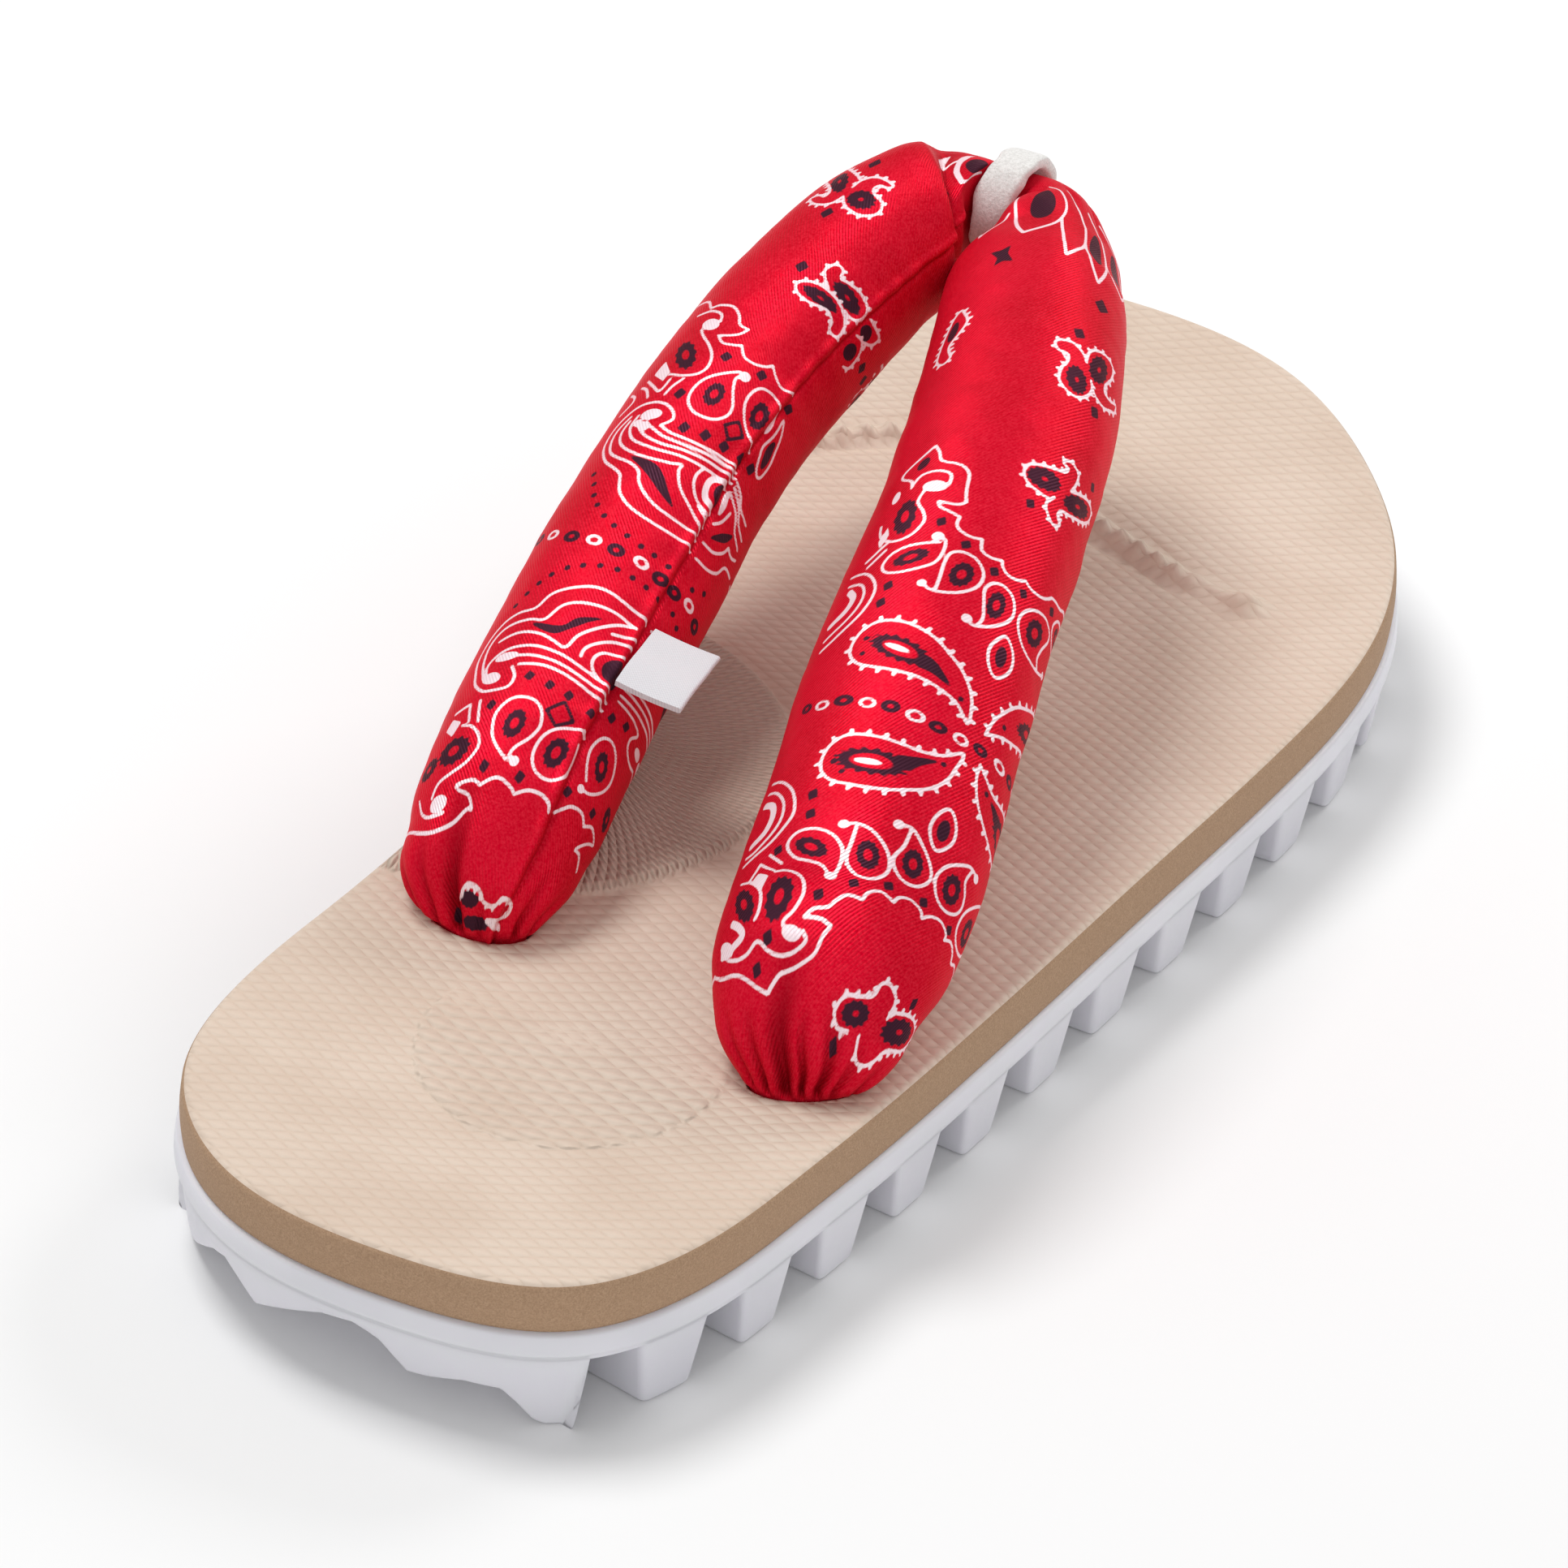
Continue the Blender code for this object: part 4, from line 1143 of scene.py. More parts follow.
def print_outer(p):
    """Chart of the bandana print on the outer arm, in millimetres."""
    # small pair at the gathered end
    p.toothed([(10.3, 8.5), (10.6, 6.5), (12.2, 5.3), (14.0, 6.3), (14.4, 8.5), (15.0, 10.6), (16.6, 11.0),
               (17.0, 12.6), (15.5, 14.8), (13.0, 14.6)], *SMALL_TEETH)
    p.toothed([(13.8, 14.6), (14.6, 18.0), (14.8, 21.5), (13.6, 25.0), (11.5, 23.5), (9.8, 20.5), (9.3, 16.5),
               (8.0, 14.5), (7.4, 12.5), (8.2, 11.0), (10.2, 10.6)], *SMALL_TEETH)
    p.oval((12.4, 8.8), (1.5, 2.3), 0, "dark", 0.25, 11)
    p.oval((12.1, 18.4), (1.8, 4.2), -10, "dark", 0.22, 13)
    for spot in ((8.8, 6.5), (16.4, 18.7)):
        p.diamond(spot)
    # flame with its scalloped border
    p.line([(15, -21), (14, -17), (14.2, -12), (13, -8), (12.6, -6.2)])
    p.line([(12.6, -6.2), (14.8, -4.8), (15.4, -3.5), (16, -2), (17.5, 0), (19.5, .5), (20.8, 1.2)])
    p.line([(20.8, 1.2), (21.4, -.5), (21.3, -2.8)])
    p.line([(21.3, -2.8), (22.5, -1.8), (23, 0), (24, .7), (25.3, 2), (25.2, 4)])
    p.line([(25.2, 4), (26.8, 4.5), (27.7, 6), (26.8, 8)])
    p.line([(26.8, 8), (28.2, 8.5), (28.9, 10), (28.2, 12), (27, 12.7)])
    p.line([(27, 12.7), (28.4, 14), (29, 16), (28, 18), (27, 18.2)])
    p.line([(27, 18.2), (27.9, 20), (27, 22), (26, 23), (26.8, 25), (25.5, 28)])
    p.line([(16.6, -16.5), (17.5, -14), (18.8, -12), (19.8, -13), (20.5, -14.8)], 0.5)
    p.oval((17.4, -15.4), (1.0, 1.8), 15, "white")
    p.line([(17, -16.5), (16.2, -15), (16, -12.5), (16.7, -10.5), (18.2, -9), (17.2, -7), (16.9, -5),
            (17.5, -3), (18.8, -1.6), (19.8, -2.5)])
    p.oval((19.4, -4), (.85, 1.5), 10, "white")
    p.line([(19.8, -5.2), (20.6, -5.6), (22, -4.5), (24.5, -3.9), (27, -4.8), (28.3, -7), (28.2, -9)])
    p.oval((23.7, -7.3), (3.3, 1.9), 0, "dark", 0.36, 12)
    p.oval((23, -13.2), (3.2, 1.6), -40, "dark", 0.34, 12)
    p.line([(20.6, -10.2), (22.0, -9.9), (24.6, -10.6), (26.6, -13.0), (27.2, -15.5)], .27)
    p.fill([(24.8, -10.5), (26.5, -13), (28.5, -12), (27.5, -10)], "white", curved=False)
    p.line([(27, -13.5), (30.5, -12.3), (28.6, -9.3)], 0.27, curved=False)
    p.line([(30, -8.3), (32, -11)], .27)
    for spot in ((14.9, -8.4), (18.6, -7.4), (32.6, -9.7), (24.5, -1.8), (27.6, 2.2), (29.4, 6.6), (29.8, 12),
                 (29, 18.3), (39, -6.5), (42.4, -7.2)):
        p.diamond(spot)
    # ring of teardrops
    p.drop([(27.5, -1.2), (29.5, -2), (30.3, -3.5), (31, -6.5), (33.3, -8.3), (35.6, -7.5), (36.4, -5),
            (35.5, -2.3), (33.5, -.6), (31, -.2), (28.5, -.5)], (28.0, -1.0, .85), (33, -4.7, 2.6, 1.5, -65))
    p.drop([(37.8, -1.2), (38.2, .2), (37.5, 2.5), (35, 5), (32, 5.9), (29.9, 4.7), (29.3, 2.8), (30.2, 1.2),
            (32, .3), (35, .3), (38.1, .2)], (37.7, -1.5, .75), (33.4, 2.8, 2.5, 1.5, -15))
    p.drop([(40, 5.2), (40.1, 7), (39, 8.5), (36.5, 10.8), (34, 11.8), (31.8, 10.5), (31.3, 8.5), (32.5, 6.8),
            (34.5, 6), (37, 6.8), (39.8, 7)], (39.9, 5.2, .75), (34.8, 8.7, 2.4, 1.5, -10))
    p.drop([(39.5, 19.8), (40, 18), (39, 15.7), (37.3, 13.5), (34.7, 12.5), (32, 13.6), (31, 15.7),
            (31.8, 18), (33.5, 19.1), (35.5, 18.9), (37.5, 17.8), (39.6, 18.4)], (39.4, 20, .75),
            (34.7, 15.8, 2.5, 1.8, 0))
    p.drop([(39.0, 27.5), (37.8, 25), (35.9, 22.3), (33.5, 20.3), (31, 19.9), (29, 21), (28.4, 23.4),
            (29.6, 26.4), (32.2, 27.8), (35.5, 27.4)], None, (32.2, 23.8, 2.5, 1.9, 10))
    p.line([(38.7, 11.2), (41, 9.4), (43.5, 9.6), (45.5, 11.2), (43.5, 13), (41, 13.2), (38.7, 11.2)])
    p.oval((42, 11.3), (1.7, 1.0))
    # rainbow arcs on the gap side
    p.line([(31.5, -17), (32.5, -14.5), (34.5, -11.5), (38, -9.4), (40.5, -9.4), (43.5, -10.9), (46, -13.8),
            (47, -17)])
    p.line([(33, -17), (33.5, -14.7), (36, -12), (38.5, -11), (41.5, -11.7), (44, -14.2), (45, -17)])
    p.line([(35, -16.5), (36.5, -13.8), (39.0, -13.0), (41.5, -14), (42.5, -16.5)], 0.6)
    # big paisley pair
    p.toothed([(55.2, 10.8), (52, 10.2), (49.5, 9.4), (47, 7.5), (45.3, 4.5), (44.4, 1.5), (44.3, -2),
            (44.8, -5), (46.3, -7), (48.8, -7.8), (51.5, -7.2), (53.2, -5.2), (53.5, -2), (53, 2),
            (52.6, 5), (53.3, 8), (55.2, 10.8)])
    p.oval((48.9, -.9), (2.2, 4.9), 4, "dark", .6, 17, 0.10)
    p.fill([(50.6, 1.9), (51.2, 4.0), (52.0, 7.6), (50.0, 5.4), (48.6, 4.2), (48.8, 2.7)], "dark")
    p.oval((48.8, -1.3), (.55, 2.0), 4, "white")
    p.oval((48.5, -5.9), (.6, .5))
    p.dot((46.6, -4.3), .45)
    p.dot((51.9, 8.4), .45)
    p.toothed([(55.2, 13.8), (52.5, 13.8), (49.5, 15), (47, 17.3), (45.2, 20.5), (44.6, 24), (45.2, 29)],
              side=-1.0)
    p.toothed([(55.2, 13.8), (54, 15.2), (52.5, 17.5), (52.2, 20), (52.7, 24), (53.4, 29)])
    p.oval((48.7, 24.4), (2.1, 4.8), 8, "dark", .55, 15, 0.10)
    p.fill([(50.4, 20.9), (51.3, 17.6), (49.4, 19.4), (48.4, 20.8)], "dark")
    p.dot((51.6, 16.4), .5)
    # chain of small ovals
    for u, v, a, b in ((59.5, -10.8, .8, 1.2), (59.2, -3.7, .8, 1.15), (58.3, 3, .9, 1.3),
            (57.2, 9.8, .85, 1.15), (57.4, 17.6, .85, 1.5), (57.8, 25.5, .8, 1.3)):
        p.oval((u, v), (a + .15, b + .15), 8, "white", .55)
    for u, v, a, b in ((59.9, -14, .9, 1.1), (59.7, -7.3, 1.05, 1.6), (59, -.5, 1.1, 1.35),
            (57.6, 6.3, 1.0, 1.4), (57.4, 13.2, 1.0, 1.4), (57.5, 21.5, 1.0, 1.6)):
        p.oval((u, v), (a, b), 5, "dark", .35)
    # the far half of the border
    p.toothed([(60.2, 10), (62.5, 8), (64, 5), (65, 1.5), (65.5, -3), (66.2, -6.5), (68, -8.5),
            (70.3, -8.9), (72.8, -8), (74.3, -6), (74.6, -3.2), (74, -.5), (72.5, 2.5), (70.5, 5),
            (68.5, 7.3), (65.5, 9.3), (62.5, 10.1), (60.2, 10)])
    p.oval((69.4, -1.6), (4.7, 2.0), -68, "dark", .6, 17, 0.10)
    p.fill([(68.9, 2.2), (66.9, 1.2), (66.3, 3.2), (64.9, 6.4), (67.3, 4.6), (68.3, 3.6)], "dark")
    p.oval((69.6, -2.0), (2.0, .5), -72, "white")
    for spot in ((68.3, -6.7), (71.2, -6.9), (63.6, 8.2)):
        p.dot(spot, .45)
    p.toothed([(60.3, 13.2), (61.8, 16), (63, 19.5), (64.5, 23), (65.8, 26.5)], side=-1.0)
    p.toothed([(60.3, 13.2), (63.5, 14), (66.5, 15.7), (68.8, 17.5), (70.5, 20), (72, 22.5), (74, 26.5)],
            side=1.0)
    p.oval((68.3, 23.4), (4.8, 1.5), 62, "dark", .4, 15, 0.10)
    p.dot((63.8, 16.2), .5)
    p.line([(70.3, 12), (72, 10.5), (74.5, 10), (76.8, 10.8), (78.3, 12.1), (76.5, 13.8), (74, 14.3),
            (71.8, 13.6), (70.3, 12)])
    p.oval((74.3, 12.1), (2.0, .95))
    p.drop([(91.9, -1.8), (90.8, -.6), (88.5, -.4), (86.3, -1), (84.8, -3), (83.9, -5.8), (84.4, -8),
            (86, -8.8), (87.9, -8), (89.2, -6), (89.9, -3.5), (90.3, -1.4)], (91.5, -1.9, .9),
            (87, -4.7, 2.7, 1.35, 62))
    p.drop([(82, -1.7), (81, -.3), (81, 1.5), (82, 4), (84, 5.7), (86.5, 6), (88.7, 4.5), (89.3, 2.3),
            (88.6, .7), (86.5, .3), (83.5, .4), (81.3, .4)], (82, -1.7, .7), (85.1, 3.1, 2.4, 1.6, 10))
    p.drop([(77.5, 5.6), (77, 7), (78.5, 9.5), (81, 11.6), (83.3, 12.1), (85.5, 11.2), (86.4, 9.3),
            (85.8, 7.6), (84, 6.8), (81.5, 7.3), (79, 7.8), (77.2, 7.3)], (77.7, 5.7, .8),
            (82.4, 9.1, 2.6, 1.4, 5))
    p.drop([(80.3, 24), (78.7, 21.5), (77.9, 19), (78.3, 16.5), (80, 14.3), (82.5, 13.2), (85, 14),
            (86.7, 16), (87.3, 18.5), (86.5, 20.8), (85, 21.2), (82.5, 20), (80, 19.3), (78.5, 20)],
            (79.9, 23.3, .7), (83, 17, 2.6, 1.9, 15))
    p.drop([(86.8, 27.5), (86.2, 25), (86.3, 23), (87.2, 21.8), (88.7, 21.3), (90.6, 22.5), (92, 24.5),
            (93.5, 27.5)], None, (89.3, 25.2, 1.6, 2.4, -20))
    for spot in ((78, -6.6), (81.3, -6.4), (94.5, -2.2), (90.9, 2.3), (88, 7.3), (87.5, 12.7), (89.8, 19.5),
                 (103.5, 8.8), (117, 19.5)):
        p.diamond(spot)
    for part in ([(96, 28), (94.5, 24.5), (92.8, 22), (92, 18.8), (91.2, 18)], [(91.2, 18), (89.8, 16.3),
            (89.3, 14), (90, 12.4)], [(90, 12.4), (89, 11), (88.8, 9.3), (89.7, 8.2), (90.7, 7.9)],
            [(90.7, 7.9), (90.2, 6.3), (90.6, 4.9), (91.4, 4.4), (92.9, 4.2)], [(92.9, 4.2), (92.7, 2.5),
            (93.5, .7), (94.7, 0), (96, .1)], [(96, .1), (96.6, -1.2), (97.5, -3.2), (98.7, -3.8)],
            [(98.7, -3.8), (98.4, -2), (98.5, -.6), (99.2, .2)], [(99.2, .2), (100.3, -.2), (102.5, -.6),
            (105, -1), (106.6, -2.5), (107.3, -5), (108, -6), (110, -6.8), (111.7, -7.9)],
            [(111.7, -7.9), (109.5, -9.8), (107.5, -11.6), (106, -12.2), (105, -11.5), (104, -9.8),
            (102.5, -9.2)],):
        p.line(part)
    p.oval((102, -5.3), (1.2, 2.0), 8, "white")
    p.line([(101.2, -6.7), (98.8, -7), (96.5, -5.5), (94.5, -4.8), (92, -5.7), (90.8, -7.5), (91, -9.5),
            (92.5, -11.5), (95, -12.3)])
    p.line([(102.3, -3.2), (104.5, -3.5), (105.3, -5.5), (105, -8), (103.5, -9), (102.3, -9.2)])
    p.oval((95.8, -8.2), (3.7, 1.7), -8, "dark", 0.36, 11)
    p.oval((107.7, -8.8), (1.5, .9), 15)
    p.fill([(89.8, -10.8), (91.5, -11.6), (94.2, -10.6), (92.4, -9.9)], "white", curved=False)
    p.oval((101, -11.6), (1.4, .7), 0, "white")
    p.line([(86.3, -11.8), (89.2, -9.3)])
    p.line([(87.6, -12.6), (90.6, -9.6)])
    p.line([(71, -15.5), (72.5, -13), (75, -10.3), (78, -8.7), (81, -8.4), (83.6, -9.8), (85.2, -12),
            (85.6, -15)])
    p.line([(73, -15.5), (75, -12.5), (77.8, -10.5), (80.5, -10.2), (82.8, -11.6), (83.6, -14.5)])
    p.line([(76, -15.5), (78, -12.9), (80.3, -12.2), (82, -13.6)], .6)
    # pairs on the plain ground
    p.toothed([(106.4, 10.4), (106.7, 8), (107.8, 6.6), (109.3, 6.2), (110.8, 6.8), (111.7, 8.5),
            (112.5, 10.5), (113.4, 12.4), (114.6, 12.9), (114.9, 11.7), (115.9, 12.3), (116.2, 13.6),
            (115.3, 15.2), (113.3, 15.3), (111.2, 14.7)], *SMALL_TEETH)
    p.toothed([(111.2, 14.7), (113, 17.5), (114, 19.8), (113.8, 21.9), (112, 22), (110, 20.5),
            (108.5, 18.5), (107.2, 16), (106.4, 14.1), (105, 13.7), (104, 14.7), (102.9, 13.5),
            (104, 11.8), (105.6, 11.1), (107.6, 12.1)], *SMALL_TEETH)
    p.oval((109.5, 9.6), (2.0, 3.0), -18, "dark", .2, 13)
    p.oval((110.3, 17.2), (1.7, 3.9), -32, "dark", .2, 13)
    p.toothed([(134.8, 12.4), (133.4, 12.9), (131.8, 12.7), (130, 11.8), (128.9, 10.4), (128.9, 9.2),
            (129.7, 7.8), (131, 7), (133.5, 7), (135.5, 7.7), (137.3, 7.6), (137.4, 6), (138.3, 5.2),
            (139.5, 5.5), (140.2, 7.5), (139.8, 9), (138.8, 10.3), (137.8, 10.8)], *SMALL_TEETH)
    p.toothed([(137.8, 10.8), (140.3, 11), (142, 12.5), (142.8, 14.8), (142.4, 16.5), (141, 17),
            (139, 16.6), (137, 15.6), (135.4, 15.8), (135.4, 17.6), (136.8, 19.7), (135, 19.8),
            (133.7, 18.3), (132.2, 16.3), (132.3, 14.2), (133.4, 12.9)], *SMALL_TEETH)
    p.oval((132.7, 9.9), (3.0, 1.9), -8, "dark", .2, 13)
    p.oval((138.4, 13.5), (3.1, 1.9), 14, "dark", .2, 13)
    p.toothed([(133.8, -12.2), (135, -11), (137, -11.8), (139, -12), (141.5, -10.5), (144, -9.6),
            (146.5, -10.5), (148.2, -11.5), (146.5, -12.8), (143.5, -13.6), (139, -14.2), (135.5, -14),
            (133.8, -12.2)], 1.6, 0.7, -1.0)
    p.oval((142.5, -12.1), (2.6, .95), 6)
    for spot in ((143, 8.7), (129.1, 14.5)):
        p.diamond(spot, 1.1)
    p.fill([(152.0, 12.2), (154, 10.9), (156.5, 12.6), (154.2, 14.2)], "dark", curved=False)
    p.fill([(158.3, -7.2), (160.7, -7.0), (162.6, -8.6), (162.9, -6.7), (164.2, -5.2), (161.8, -5.3),
            (159.1, -3.9), (159.6, -5.8)], "dark", curved=False)
    # leaves round the neck
    p.line([(168.3, -4.0), (171, -6.3), (175, -8.8), (179, -10.2), (183, -11.2), (187.5, -11.8),
            (191, -14)], .36)
    p.line([(168.3, -3.8), (170.5, -1.5), (173.5, .3), (176, 1), (180, 1.5), (184, .6), (188, -2)], .34)
    p.oval((180, -4.2), (5.4, 2.8), -6)
    p.line([(163.2, 4.6), (167, 4), (170.5, 3.4), (174, 2), (176, 1.2)], .33)
    p.line([(163.2, 4.7), (166, 6.3), (169, 7.8), (172, 8.2), (176, 7.4), (181, 5.5), (186, 3)], .33)
    p.line([(160.3, 11.3), (164, 10), (168, 9), (171.5, 8.3)], .33)
    p.line([(160.3, 11.4), (164, 12.8), (168, 13.8), (172, 14.2), (177, 12.5), (182, 9)], .33)
    p.oval((171.5, 11), (5.0, 1.7), -4)
    p.line([(163.8, 18.5), (165.5, 16.3), (168, 14.8), (171, 14.2)], .33)
    p.line([(163.8, 18.7), (168, 21.5), (172, 22.2), (177, 20), (182, 15.5)], .33)
    p.oval((171.5, 18), (4.6, 1.9), -4)
    p.line([(166, 28), (169, 24.5), (172, 22.4)], .33)
    p.line([(166, 28), (171, 31), (177, 29), (183, 23)], .33)
    p.oval((173, 26.6), (4.4, 1.8), -8)
    p.line([(170, -14), (174, -16.5), (179, -17), (184, -16)], .33)
    p.line([(170, -14), (174, -12.6), (178, -11.5)], .33)


def print_inner(p):
    """Chart of the bandana print on the inner arm, in millimetres."""
    # small pair at the gathered end
    p.toothed([(6.2, 3.2), (7.8, 1.4), (7.5, -1.4), (6.4, -2.9), (6.2, -5.5), (7.2, -6.7), (6.8, -9.3),
            (5.5, -9.7), (4.6, -7.4)], 1.7, 0.35)
    p.line([(4.6, -7.4), (4.3, -4.1)], 0.3)
    p.line([(4.3, -4.1), (4.0, -5.9), (3.6, -8.2)], 0.3)
    p.oval((6.4, .7), (0.95, 2.3), 0, "dark", None, 11)
    p.oval((3.9, -1.2), (.7, 3.6), 0, "dark", None, 11)
    p.diamond((4.0, 5.2), 0.9)
    # flame with its scalloped border
    for part in (
        [(12.5, 22), (12.5, 18), (12, 14.5), (12, 10.5), (13, 7.5), (15, 5), (15, 3.7)],
        [(15, 3.7), (16.8, 4.8), (17.3, 6.5), (17.9, 7.4), (18.5, 6), (18.8, 4.3), (18.2, 3)],
        [(18.2, 3), (19.2, 1.5), (19.5, 0), (18.6, -2.2), (17.8, -3)],
        [(17.8, -3), (18.9, -5), (18.9, -7.5), (18, -9), (16.8, -9.5)],
        [(17.8, -10.8), (18.7, -12), (19.6, -13.5), (19.6, -16), (18.2, -17.5)],
        [(18.2, -17.5), (19, -19.5), (18, -21.5), (17.2, -22.5)],
        [(17.2, -22.5), (16.5, -20.5), (15, -18.5), (14.5, -18.2)],
        [(14.5, -18.2), (14.2, -20), (12.3, -21.8)],
        [(16.5, 12.5), (18.5, 11.5), (19.8, 9), (21.3, 6.5), (23.5, 5.2), (25.8, 6), (27.3, 8), (27.7, 10)],
        [(14.4, 9.2), (13.9, 12.5), (14.8, 15), (16.8, 16.5)],
    ):
        p.line(part)
    p.oval((15.6, 10.7), (1.2, 1.9), 10, "white")
    p.fill([(26, 11.5), (28.5, 10.5), (29.5, 13), (27.5, 13.8)], "white", curved=False)
    p.line([(28, 6.8), (32, 8)], .27)
    p.line([(28.2, 8.7), (31.5, 9.8), (30.5, 13)], .27, curved=False)
    p.oval((23.3, 9.9), (2.2, 3.1), 12, "dark", .36, 12)
    p.oval((21.5, 15.5), (1.6, 2.4), 20, "dark", .3, 12)
    # teardrops
    p.drop([(22.3, -1.6), (23, -.3), (24.5, -.8), (26.5, -2.5), (29, -3.4), (31.8, -2.5), (33, -.3),
            (32.3, 2.5), (29.5, 4.1), (26, 3.6), (23.8, 2), (22.2, 0)], (22.3, -1.3, .8),
            (28.2, .6, 2.6, 1.6, -8))
    p.drop([(31.3, -11.2), (31, -9), (29.5, -6), (27, -4.2), (24, -3.8), (21.8, -5), (21.1, -7.5),
            (22.3, -9.8), (25, -10.4), (28.5, -10.2)], (31.2, -10.6, .6), (25.6, -7.2, 2.7, 1.7, -12))
    p.drop([(22.8, -13.8), (23, -16), (25, -18.5), (28, -19.7), (31.5, -18.8), (33.5, -16.5), (33, -14.2),
            (30.5, -13), (27.5, -13), (24.5, -14.2)], (22.8, -13.8, .75), (28.5, -16.2, 2.9, 1.5, 8))
    p.oval((22.5, -23), (2.2, 1.5), 20, "dark", .3, 12)
    p.line([(31.8, -8.0), (34.2, -5.5), (31.8, -3.4), (29.9, -5.6), (31.8, -8.0)], .3, "dark", curved=False)
    for spot in ((20.8, -18.2), (37.8, -17.6), (37.0, -14.2), (21.2, -11.6), (34.5, -10), (35.7, -5.7),
            (20.3, -3), (36.2, -2.3), (37, 1.3), (20.8, 3.2), (31, 5.5), (21.6, 20.5)):
        p.diamond(spot)
    # sweeping curl, near half
    p.oval((36.3, 8), (1.2, 1.9), -10, "white")
    for run in ([(38.5, 5), (36.5, 3.7), (34.5, 4), (33.8, 6), (33.8, 8.5), (35.5, 11), (38, 12.6),
            (41, 14), (44, 14.2), (48, 12.3), (50, 9), (50.8, 6), (54, 4.5), (56, 1), (57, -3),
            (56.2, -8), (55.5, -12.5)], [(36.5, 9.8), (40, 11.8), (44, 12.5), (47, 10.5), (48.3, 6),
            (48.5, 3.3), (52, 1.5), (53.5, -2), (53.8, -7), (53.2, -11)], [(53.2, -10.5), (52, -8),
            (49.5, -5), (47, -3), (44, -2), (44.5, 0), (45.5, 3), (45.5, 7), (44.2, 10.3)], [(37, -12),
            (38, -8), (39, -4), (39.5, 0), (39, 4)], [(38.5, -12), (39.6, -7), (40.7, -2), (41, 3),
            (40.2, 8)], [(40.3, -11.5), (41.4, -6), (42.6, -1), (42.9, 4), (41.8, 8.2), (39.5, 10.3),
            (37, 9.5)], [(40.5, -10), (42, -7.5), (44, -6.8), (46, -8), (47.2, -11.5)], [(43.4, -4.8),
            (45.2, -4.9), (47.2, -6.4), (49, -9), (49.5, -12)], [(50, -7.8), (51.3, -12)],):
        p.line(run, .28)
    p.oval((40.6, 7), (.9, 2.2), 10, "white")
    p.fill([(51.8, -5.5), (50.4, -1.8), (47.8, .3), (47.6, 5), (46.5, 3.5), (46.0, .6), (48.0, -1.6),
            (50.2, -3.6)], "dark")
    p.fill([(41.4, -12.2), (41.6, -9.6), (43.6, -8.6), (45.6, -9.8), (45.8, -12.2)], "dark")
    for run in ([(34.8, -26), (34, -23), (35, -20.5), (37, -19.8), (39, -21.3), (40, -18), (40.3, -14)],
            [(41, -26), (41.4, -21), (41.6, -14)], [(42.4, -26), (42.8, -21), (43, -14)], [(43.8, -26),
            (44.3, -20), (44.4, -14)], [(46, -14), (47.5, -17.5), (50.5, -20), (52, -24)], [(49, -14),
            (50.6, -17), (53.6, -19.6), (55, -24)], [(55.4, -14), (56.6, -18), (56.2, -22),
            (57.2, -26)],):
        p.line(run, .27)
    p.oval((37, -24), (.9, 1.7), 0, "white")
    p.oval((49.4, -24), (1.3, 2.6), 25)
    # dots and chain
    for spot in ((54.3, 9.7), (56.3, 8.2), (58, 6.5), (59.5, 4.2), (60.3, 1.7), (61, -1), (61.4, -3.8),
            (61.2, -6.6), (61, -9.3), (60.3, -12), (60.8, -16.2), (59.5, -18.3), (58.6, -21),
            (66.4, -10.9), (66.8, -8), (67.1, -5.4), (67.9, -2.6), (69, .2), (70.5, 2.6), (72.6, 4.8),
            (74.7, 6.5), (77.2, 7.8), (66.8, -17.3), (68.2, -20), (52, 11), (79.7, 9.4)):
        p.dot(spot, .55)
    for u, v in ((64.2, -18.2), (64.4, -6.7), (65.5, 2.1), (66.8, 11)):
        p.oval((u, v), (1.05, 1.5), -12, "white", .5)
    for u, v in ((62.9, -22), (63.9, -14.4), (63.6, -10.7), (64.7, -2.1), (65.8, 6.4), (67.5, 15.5)):
        p.oval((u, v), (1.2, 1.6), -10, "dark", .35)
    # sweeping curl, far half
    for run in ([(71.8, -13.5), (71.8, -8), (72.3, -4), (73.5, -.5), (75.5, 2), (77.5, 3), (79.3, 3.8),
            (80.5, 5.5), (82, 8), (84, 10), (86.5, 11.6), (89.5, 12), (92, 10.8), (94, 8.5), (94.8, 5.5),
            (94.5, 3), (93.3, 1), (91.8, .3), (90.3, 1.6)], [(74.3, -13.5), (74.5, -9), (75, -5),
            (76.5, -2), (78.5, 0), (80.5, 1), (81.8, 3), (82.8, 6), (84.3, 8.5), (87, 10.1),
            (89.5, 10.3), (92, 8.8)], [(75.3, -13.2), (78, -9.5), (80.3, -6.5), (83, -5), (84.3, -5),
            (83.7, -3), (83.5, 1), (84.3, 4.5), (86, 7.3), (88.5, 8.7), (91, 8.3)], [(77, -13.4),
            (79.2, -10.6)], [(85.9, -14), (86, -10), (85.8, -5), (85.5, -1), (85.8, 2.5), (87, 5.5),
            (89.5, 7.3), (92, 7.1)], [(87.4, -14.5), (87.4, -9), (87, -4), (86.8, 0), (87.8, 3.5),
            (90, 6)], [(88.6, -14.8), (88.5, -9), (88, -4), (88.2, 0), (89.5, 3), (90.6, 4.6)],
            [(89.8, -14.5), (89.4, -9), (89.1, -4), (89.3, -.5), (90.2, 1.7)], [(78.5, -13), (80, -10),
            (82, -8.3), (84, -7.9), (85.8, -8.5)],):
        p.line(run, .27)
    p.line([(80.2, -13.3), (81.3, -11), (83.5, -10.3), (85.3, -11), (86, -13.5)], .55)
    p.fill([(81.4, -13.6), (82, -12.2), (83.5, -11.7), (85, -12.3), (85.2, -13.6)], "dark")
    p.oval((92.2, 4.6), (1.15, 2.0), 8, "white")
